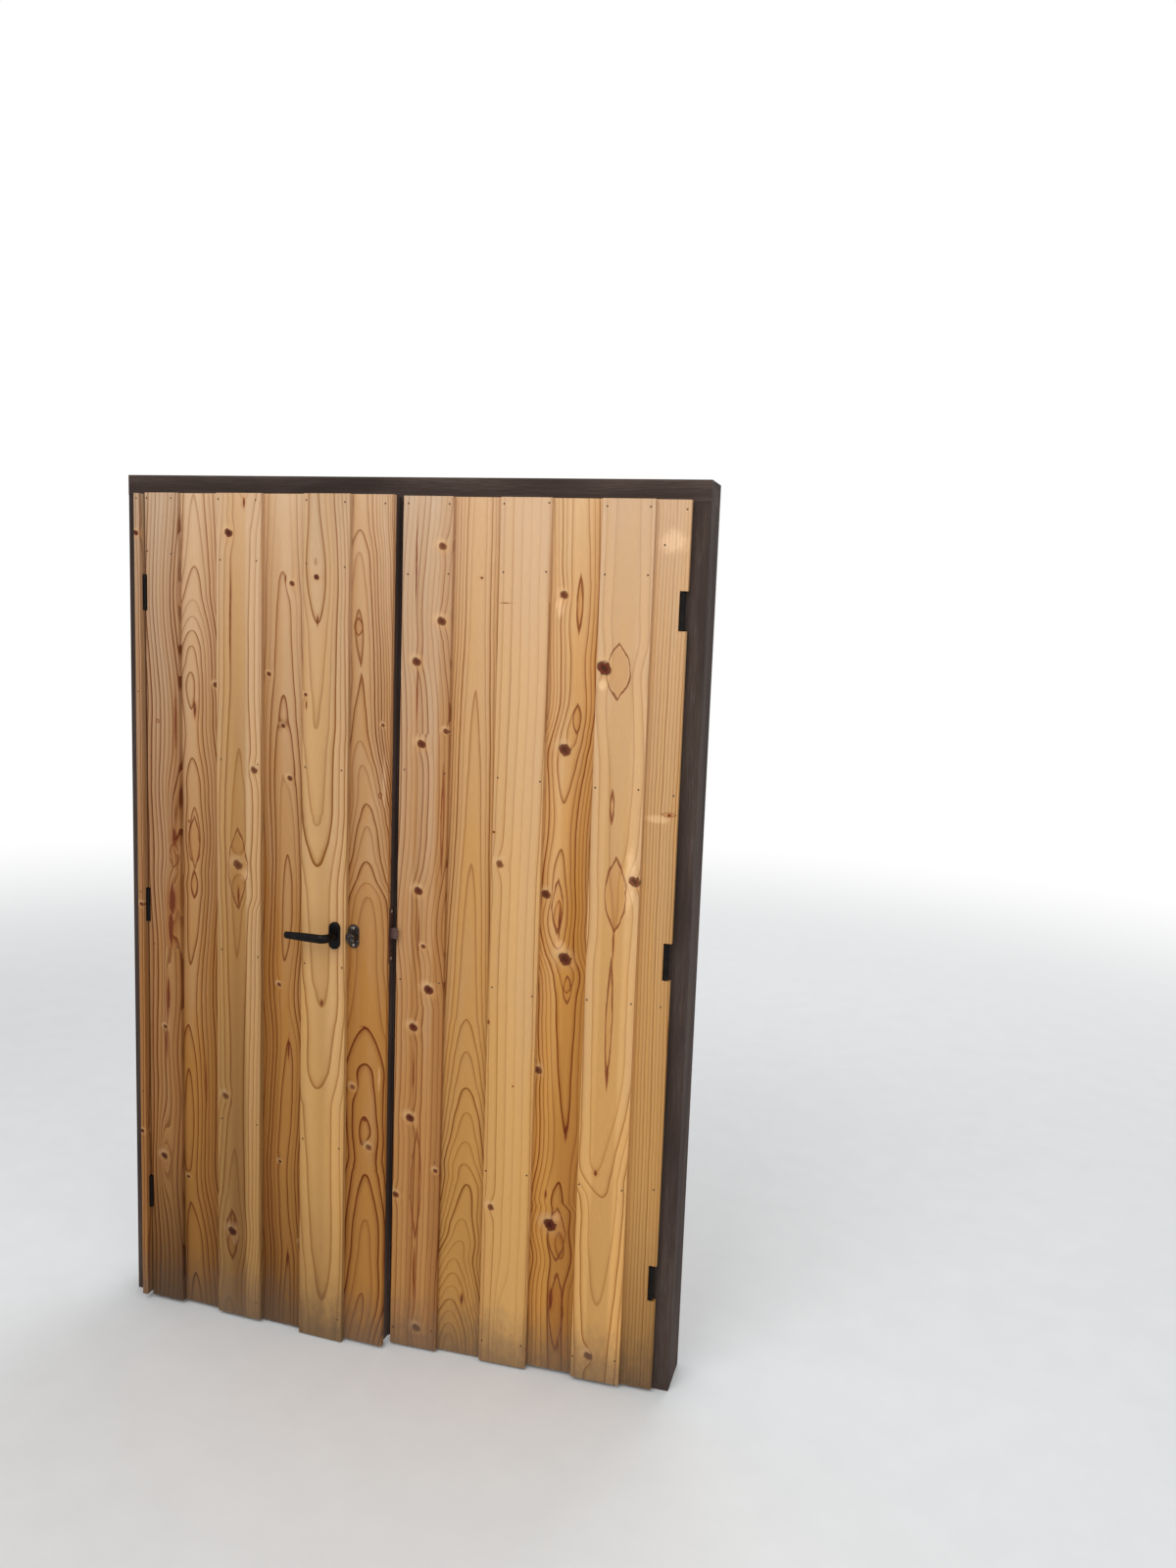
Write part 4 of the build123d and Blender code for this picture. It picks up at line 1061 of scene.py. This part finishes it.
@dataclass(frozen=True)
class Fixing:
    """The head of a nail or screw, in millimetres, with its foot at the origin."""

    radius: float
    proud: float
    recess: float = 0.0
    sides: int = 24

    rim_height = 0.45
    dome = ((0.14, 0.35), (0.26, 0.2))
    recess_step = 0.05
    arm_length = 0.86
    arm_width = 0.2
    crown = 0.62

    def shape(self) -> bmesh.types.BMesh:
        """Model one head, with a cross recess where it has one.

        Returns:
            The shape.
        """
        mesh = bmesh.new()
        bmesh.ops.create_circle(mesh, cap_ends=True, segments=self.sides, radius=self.radius)
        top = self._raise(mesh, mesh.faces[:][0], self.proud * self.rim_height)
        for inwards, upwards in self.dome:
            self._draw_in(mesh, top, self.radius * inwards, self.proud * upwards)
        if self.recess:
            self._draw_in(mesh, top, self.radius * self.recess_step, 0.0)
            for corner in top.verts:
                reach = self._cross(math.atan2(corner.co.y, corner.co.x))
                corner.co.xy = corner.co.xy.normalized() * reach
            self._raise(mesh, top, -self.recess)
        return mesh

    @staticmethod
    def _raise(
        mesh: bmesh.types.BMesh, face: bmesh.types.BMFace, height: float
    ) -> bmesh.types.BMFace:
        """Extrude a face along the head's axis.

        Args:
            mesh: The shape.
            face: The face.
            height: How far it goes.

        Returns:
            The moved face.
        """
        made = bmesh.ops.extrude_face_region(mesh, geom=[face])["geom"]
        corners = [item for item in made if isinstance(item, bmesh.types.BMVert)]
        moved = next(item for item in made if isinstance(item, bmesh.types.BMFace))
        bmesh.ops.translate(mesh, vec=(0, 0, height), verts=corners)
        if face.is_valid:
            bmesh.ops.delete(mesh, geom=[face], context="FACES_ONLY")
        return moved

    @staticmethod
    def _draw_in(
        mesh: bmesh.types.BMesh, face: bmesh.types.BMFace, thickness: float, height: float
    ) -> None:
        """Inset a face by a thickness and lift it."""
        bmesh.ops.inset_region(mesh, faces=[face], thickness=thickness, use_even_offset=True)
        bmesh.ops.translate(mesh, vec=(0, 0, height), verts=face.verts)

    def _cross(self, angle: float) -> float:
        """How far the recess reaches from the axis.

        Args:
            angle: The direction.

        Returns:
            The distance.
        """
        along = max(abs(math.cos(angle)), abs(math.sin(angle)))
        aside = max(min(abs(math.cos(angle)), abs(math.sin(angle))), 1e-6)
        arm, half_width = self.radius * self.crown * self.arm_length, self.radius * self.arm_width
        return min(arm / along, half_width / aside)

    def build(
        self, name: str, body: str, slot: str, places: Sequence[Matrix], material: bpy.types.Material
    ) -> None:
        """Set a head at each of several places, as one piece that rides on a body.

        Args:
            name: The piece's name.
            body: The CAD body that carries it.
            slot: The record's material slot, which is not used.
            places: Where the heads stand.
            material: Their finish.
        """
        single = self.shape()
        pattern = bpy.data.meshes.new("pattern")
        single.to_mesh(pattern)
        single.free()
        mesh = bmesh.new()
        for place in places:
            first = len(mesh.verts)
            mesh.from_mesh(pattern)
            bmesh.ops.transform(mesh, matrix=place, verts=mesh.verts[first:])
        bpy.data.meshes.remove(pattern)
        bmesh.ops.recalc_face_normals(mesh, faces=mesh.faces)
        piece = mesh_object(mesh, name)
        piece.data.materials.append(material)
        piece.data.shade_smooth()
        piece.data.set_sharp_from_angle(angle=SHARP_ANGLE)
        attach(piece, body)
        LOG.info("built %s on %s, %d faces", name, body, len(piece.data.polygons))


@dataclass
class Finishes:
    """The materials that several parts share."""

    nail: bpy.types.Material
    screw: bpy.types.Material
    black_screw: bpy.types.Material
    bright_screw: bpy.types.Material

    @classmethod
    def make(cls) -> "Finishes":
        """Make the shared materials.

        Returns:
            The materials.
        """
        nail = DulledMetal(STRAIGHT, (0.16, 0.10, 0.065), (0.075, 0.034, 0.018), 0.9, 0.55)
        screw = DulledMetal(STRAIGHT, (0.46, 0.40, 0.35), (0.06, 0.04, 0.032), 0.7, 0.22)
        bright = DulledMetal(STRAIGHT, (0.66, 0.62, 0.55), (0.30, 0.23, 0.17), 0.6, 0.24)
        return cls(
            nail.build("rusty_nails"), screw.build("bronzed_screws"),
            PaintedIron(wear=0.6).build("black_screws"), bright.build("bright_screws"),
        )


@dataclass
class Leaf:
    """A board-on-board leaf: its boards, the framing behind them and the nails through them."""

    side: str
    place: Placement
    figures: tuple[Figure, ...]
    nails: tuple[Point, ...]
    own_framing: tuple[str, ...]
    # Painted shade laid over the whole leaf.
    painted_top_shade: float
    seed: float
    framing: tuple[str, ...] = ("hinge_stile", "end_rails", "mid_rails", "edge_pack")
    seed_step: float = 3.7
    rail_seed: float = 5.0
    board_thick: float = 12.0
    nail: Fixing = Fixing(radius=2.1, proud=0.55, sides=12)
    nail_margin: float = 4.0

    def build(self, finishes: Finishes) -> None:
        """Dress the boards and framing and drive the nails.

        Args:
            finishes: The shared materials.
        """
        for index, figure in enumerate(self.figures):
            front, seed = self.board_thick * (index % 2), self.seed_step * index + self.seed
            wood = CedarBoard(figure, self.place, front, self.painted_top_shade, seed)
            wood.dress(f"{self.side}_board_{index + 1}")
        upright = OldTimber(Along.HEIGHT, self.place, seed=self.seed)
        level = OldTimber(Along.WIDTH, self.place, seed=self.seed + self.rail_seed)
        for name in (*(f"{self.side}_{part}" for part in self.framing), *self.own_framing):
            timber = level if "rails" in name else upright
            timber.dress(name)
        places = [self._nail_place(u, z) for u, z in self.nails]
        name, body = f"{self.side}_board_nails", f"{self.side}_leaf"
        self.nail.build(name, body, "old_timber", places, finishes.nail)

    def _nail_place(self, u: float, z: float) -> Matrix:
        """Set a nail on the front of its board, clear of the board's edges.

        Args:
            u: Its place along the leaf.
            z: Its height on the leaf.

        Returns:
            The nail's matrix.
        """
        index = next(i for i, figure in enumerate(self.figures) if u <= figure.right)
        board = self.figures[index]
        u = min(max(u, board.left + self.nail_margin), board.right - self.nail_margin)
        return self.place.facing(u, self.board_thick * (index % 2), z, Way.FRONT)


@dataclass
class Frame:
    """The fixed frame: jambs, head, stops, the new lining and the keeper above."""

    lining_place: Placement = Placement(axis_x=-631.0, axis_y=-47.0, base=17.0)
    lining_figure: Figure = Figure(
        0, 14, Tone.ROSE,
        rings=((1936, -20, 0, 4.0), (1200, -18, 0, 4.4), (0, -20, 0, 4.0)),
        knots=((5, 1838, 6, 0.9), (9, 980, 5, 0.7), (4, 420, 5, 0.8)),
        bands=((0, 0.6), (1, 0.6)),
    )
    # Painted shade laid over the whole lining.
    lining_painted_shade: float = 0.85
    lining_seed: float = 12.3
    lining_nail_u: float = 7.0
    lining_nail_heights: tuple[float, ...] = (70.0, 520.0, 1010.0, 1480.0, 1915.0)
    lining_nail: Fixing = Fixing(radius=1.9, proud=0.45, sides=12)
    keeper_screw: Fixing = Fixing(radius=3.0, proud=1.1, recess=0.8)
    keeper_screw_x: Point = (32.5, 63.5)
    keeper_middle: float = 36.5
    keeper_height: float = 1929.0

    def build(self, finishes: Finishes) -> None:
        """Dress the frame and set its nails and screws.

        Args:
            finishes: The shared materials.
        """
        for name, along, seed in (
            ("left_jamb", Along.HEIGHT, 1.0), ("right_jamb", Along.HEIGHT, 9.0),
            ("head_jamb", Along.WIDTH, 4.0), ("side_stops", Along.HEIGHT, 6.0),
            ("head_stop", Along.WIDTH, 7.0),
        ):
            OldTimber(along, seed=seed).dress(name)
        place = self.lining_place
        lining = CedarBoard(self.lining_figure, place, 0.0, self.lining_painted_shade, self.lining_seed)
        lining.dress("left_lining")
        DulledMetal(clean=(0.50, 0.48, 0.46), brushed=Along.WIDTH).dress("bolt_keeper")
        nails = [place.facing(self.lining_nail_u, 0.0, z, Way.FRONT) for z in self.lining_nail_heights]
        self.lining_nail.build("lining_nails", "frame", "old_timber", nails, finishes.nail)
        screws = [
            STRAIGHT.facing(x, self.keeper_middle, self.keeper_height, Way.DOWN, 0.5)
            for x in self.keeper_screw_x
        ]
        self.keeper_screw.build("keeper_screws", "frame", "bolt_steel", screws, finishes.bright_screw)


@dataclass
class Hinges:
    """Black butt hinges with their pins, and flush screws in both plates."""

    left_feet: tuple[float, ...] = (230.0, 945.0, 1674.0)
    right_feet: tuple[float, ...] = (209.0, 936.0, 1674.0)
    left_faces: Point = (-0.1, -1.4)
    right_faces: Point = (611.6, 611.4)
    right_depth: float = 15.0
    screw_places: tuple[Point, ...] = ((18.0, 14.0), (34.0, 28.0), (34.0, 48.0), (18.0, 62.0))
    screw: Fixing = Fixing(radius=3.6, proud=0.08, recess=0.05)

    def build(self, finishes: Finishes) -> None:
        """Dress the hinges and set their screws.

        Args:
            finishes: The shared materials.
        """
        leaf_halves = [
            f"{side}_leaf_hinge_{place}"
            for side in ("left", "right") for place in ("bottom", "middle", "top")
        ]
        black = PaintedIron(wear=0.28)
        black.dress("hinge_black", "left_jamb_hinge_halves", "right_jamb_hinge_halves", *leaf_halves)
        PaintedIron(wear=0.8).dress("hinge_pins", "left_hinge_pins", "right_hinge_pins")
        left_jamb, left_leaf = self.left_faces
        right_jamb, right_leaf = self.right_faces
        left, right = (0.0, self.left_feet), (self.right_depth, self.right_feet)
        for name, body, place, face, way, (depth, feet) in (
            ("left_jamb_hinge_screws", "frame", LEFT_JAMB, left_jamb, Way.RIGHT, left),
            ("left_leaf_hinge_screws", "left_leaf", LEFT_LEAF, left_leaf, Way.LEFT, left),
            ("right_jamb_hinge_screws", "frame", RIGHT_LEAF, right_jamb, Way.LEFT, right),
            ("right_leaf_hinge_screws", "right_leaf", RIGHT_LEAF, right_leaf, Way.RIGHT, right),
        ):
            heads = [
                place.facing(face, depth + inwards, foot + up, way, 0.4 * inwards + up)
                for foot in feet for inwards, up in self.screw_places
            ]
            self.screw.build(name, body, "black_metal", heads, finishes.black_screw)


@dataclass
class Lock:
    """The mortise lock with its levers, roses, key cylinder and thumb turn."""

    centre_height: float = 967.0
    lever_u: float = 498.0
    cylinder_u: float = 539.0
    rose_thick: float = 7.0
    plate_thick: float = 3.0
    leaf_back: float = 54.0
    board_thick: float = 12.0
    edge: float = 622.0
    edge_depth: float = 32.0
    edge_screw_heights: Point = (921.0, 1029.0)
    plate_reach: float = 19.2
    rose_reach: float = 20.5
    rose_screw: Fixing = Fixing(radius=3.2, proud=1.2, recess=0.9)
    plate_screw: Fixing = Fixing(radius=3.3, proud=1.3, recess=0.9)
    edge_screw: Fixing = Fixing(radius=3.9, proud=0.7, recess=0.5)

    def build(self, finishes: Finishes) -> None:
        """Dress the lock and set its screws.

        Args:
            finishes: The shared materials.
        """
        self._dress()
        front, back = self.board_thick - self.plate_thick, self.leaf_back + self.plate_thick
        rose = self.leaf_back + self.rose_thick
        for name, slot, head, finish, u, depth, way, reach in (
            ("escutcheon_screws", "dark_bronze", self.plate_screw, finishes.screw,
             self.cylinder_u, front, Way.FRONT, self.plate_reach),
            ("turn_plate_screws", "dark_bronze", self.plate_screw, finishes.screw,
             self.cylinder_u, back, Way.BACK, self.plate_reach),
            ("inside_rose_screws", "black_metal", self.rose_screw, finishes.black_screw,
             self.lever_u, rose, Way.BACK, self.rose_reach),
        ):
            pair = [
                LEFT_LEAF.facing(u, depth, self.centre_height + rise, way, rise)
                for rise in (-reach, reach)
            ]
            head.build(name, "left_leaf", slot, pair, finish)
        for name, body, place, u, way, roll in (
            ("face_plate_screws", "left_leaf", LEFT_LEAF, self.edge, Way.RIGHT, 0.3),
            ("strike_plate_screws", "right_leaf", RIGHT_LEAF, 0.0, Way.LEFT, 0.9),
        ):
            pair = [place.facing(u, self.edge_depth, z, way, roll) for z in self.edge_screw_heights]
            self.edge_screw.build(name, body, "lock_steel", pair, finishes.bright_screw)

    @staticmethod
    def _dress() -> None:
        """Give the lock's pieces their black, bronze and steel."""
        black = PaintedIron(LEFT_LEAF, wear=0.16, gloss=0.20)
        black.dress("lever_black", "outside_lever", "inside_lever", "outside_rose", "inside_rose")
        bronze = DulledMetal(
            LEFT_LEAF, (0.24, 0.19, 0.16), (0.014, 0.009, 0.007), 0.96, 0.16, cover=(0.28, 0.47)
        )
        bronze.dress(
            "lock_bronze", "cylinder_escutcheon", "lock_cylinder", "key_plug",
            "turn_plate", "thumb_turn",
        )
        steel = DulledMetal(LEFT_LEAF, (0.17, 0.105, 0.090), (0.060, 0.034, 0.029), 0.8, 0.34)
        steel.dress("lock_steel", "lock_case", "face_plate", "latch_bolt", "dead_bolt", "lever_spindle")
        strike = DulledMetal(RIGHT_LEAF, (0.19, 0.13, 0.11), (0.070, 0.042, 0.036), 0.8, 0.34)
        strike.dress("strike_steel", "strike_plate")


@dataclass
class BarrelBolts:
    """The two barrel bolts on the inner side of the right leaf."""

    middle: float = 30.0
    leaf_back: float = 54.0
    plate_thick: float = 2.6
    side_step: float = 13.4
    screw_heights: tuple[float, ...] = (43.0, 109.0, 1810.0, 1876.0)
    screw: Fixing = Fixing(radius=2.9, proud=1.2, recess=0.9)

    def build(self, finishes: Finishes) -> None:
        """Dress the bolts and set their plates' screws.

        Args:
            finishes: The shared materials.
        """
        zinc = DulledMetal(RIGHT_LEAF, (0.52, 0.50, 0.47), (0.22, 0.18, 0.15), 0.7, 0.28)
        zinc.dress("bolt_zinc", "top_bolt", "bottom_bolt", "top_bolt_guide", "bottom_bolt_guide")
        depth = self.leaf_back + self.plate_thick
        heads = [
            RIGHT_LEAF.facing(self.middle + step, depth, z, Way.BACK, z + step)
            for z in self.screw_heights for step in (-self.side_step, self.side_step)
        ]
        self.screw.build("bolt_guide_screws", "right_leaf", "bolt_steel", heads, finishes.bright_screw)


@dataclass
class Stage:
    """The floor, the light and the camera."""

    floor_half: float = 30.0
    floor_fade: Point = (2.2, 7.0)
    floor_speck: float = 9.0
    sky: Colour = (0.93, 0.96, 1.0)
    sky_strength: float = 0.70
    lamps: tuple[tuple[str, Place, float, float], ...] = (
        ("key", (-0.6, -3.4, 4.2), 2.6, 84.0),
        ("fill", (2.8, -3.0, 2.6), 2.4, 26.0),
        ("rear", (0.5, 3.4, 3.6), 2.6, 60.0),
    )
    target: Place = (0.0, 0.0, 1.0)
    lens: float = 28.527
    eye: Place = (1.11139, -2.53912, 1.70667)
    turn: tuple[Place, Place, Place] = (
        (0.9648332, -0.07008839, 0.25334663),
        (0.26028318, 0.12003772, -0.95804155),
        (0.03673644, 0.99029216, 0.1340592),
    )

    def build(self) -> None:
        """Put everything in place."""
        self._floor()
        self._light()
        self._camera()

    def _floor(self) -> None:
        """Lay a plain pale floor that turns to white far away."""
        shape = bmesh.new()
        bmesh.ops.create_grid(shape, x_segments=1, y_segments=1, size=self.floor_half)
        floor = mesh_object(shape, "floor")
        material = bpy.data.materials.new("floor")
        recipe = Recipe(material)
        place = recipe.parts(recipe.node("ShaderNodeTexCoord", output="Object"))
        x, y, _ = place
        far = (x * x + y * y).root().rise(*self.floor_fade)
        speck = recipe.noise([value * self.floor_speck for value in place], 4.0, 0.6)
        ground = recipe.mix(speck, (0.70, 0.70, 0.69), (0.76, 0.76, 0.75))
        matt = recipe.node("ShaderNodeBsdfDiffuse", {}, {"Color": ground})
        white = recipe.node("ShaderNodeEmission", {}, {"Color": WHITE, "Strength": 1.0})
        both = recipe.node("ShaderNodeMixShader", {}, {0: far * recipe.seen(), 1: matt, 2: white})
        recipe.node("ShaderNodeOutputMaterial", {}, {"Surface": both})
        floor.data.materials.append(material)

    def _light(self) -> None:
        """Light the scene softly from above and in front, against a white surround."""
        world = bpy.data.worlds.new("surround")
        bpy.context.scene.world = world
        recipe = Recipe(world)
        soft, white = (
            recipe.node("ShaderNodeBackground", {}, {"Color": colour, "Strength": strength})
            for colour, strength in ((self.sky, self.sky_strength), (WHITE, 1.0))
        )
        both = recipe.node("ShaderNodeMixShader", {}, {0: recipe.seen(), 1: soft, 2: white})
        recipe.node("ShaderNodeOutputWorld", {}, {"Surface": both})
        for name, place, size, power in self.lamps:
            lamp = bpy.data.lights.new(name, "AREA")
            lamp.size = size
            lamp.energy = power
            holder = bpy.data.objects.new(name, lamp)
            holder.location = place
            aim = Vector(self.target) - Vector(place)
            holder.rotation_euler = aim.to_track_quat("-Z", "Y").to_euler()
            bpy.context.scene.collection.objects.link(holder)
        bpy.context.scene.view_settings.view_transform = "Standard"

    def _camera(self) -> None:
        """Stand the camera where the photograph was taken from."""
        data = bpy.data.cameras.new("camera")
        data.lens = self.lens
        data.sensor_width = 36.0
        data.clip_start, data.clip_end = 0.05, 100.0
        camera = bpy.data.objects.new("camera", data)
        camera.matrix_world = Matrix.Translation(self.eye) @ Matrix(self.turn).to_4x4()
        bpy.context.scene.collection.objects.link(camera)
        bpy.context.scene.camera = camera


def main() -> None:
    """Build the looks of the door and its stage."""
    logging.basicConfig(level=logging.INFO, format="%(message)s")
    finishes = Finishes.make()
    Frame().build(finishes)
    for leaf in (
        Leaf(
            "left", LEFT_LEAF, LEFT_FIGURES, LEFT_NAILS, ("left_lock_stile", "lock_block"),
            # The left leaf gets painted shade all over.
            painted_top_shade=0.92, seed=1.3,
        ),
        Leaf(
            "right", RIGHT_LEAF, RIGHT_FIGURES, RIGHT_NAILS, ("right_meeting_stile",),
            painted_top_shade=1.0, seed=31.9,
        ),
    ):
        leaf.build(finishes)
    Hinges().build(finishes)
    Lock().build(finishes)
    BarrelBolts().build(finishes)
    Stage().build()


if __name__ == "__main__":
    main()
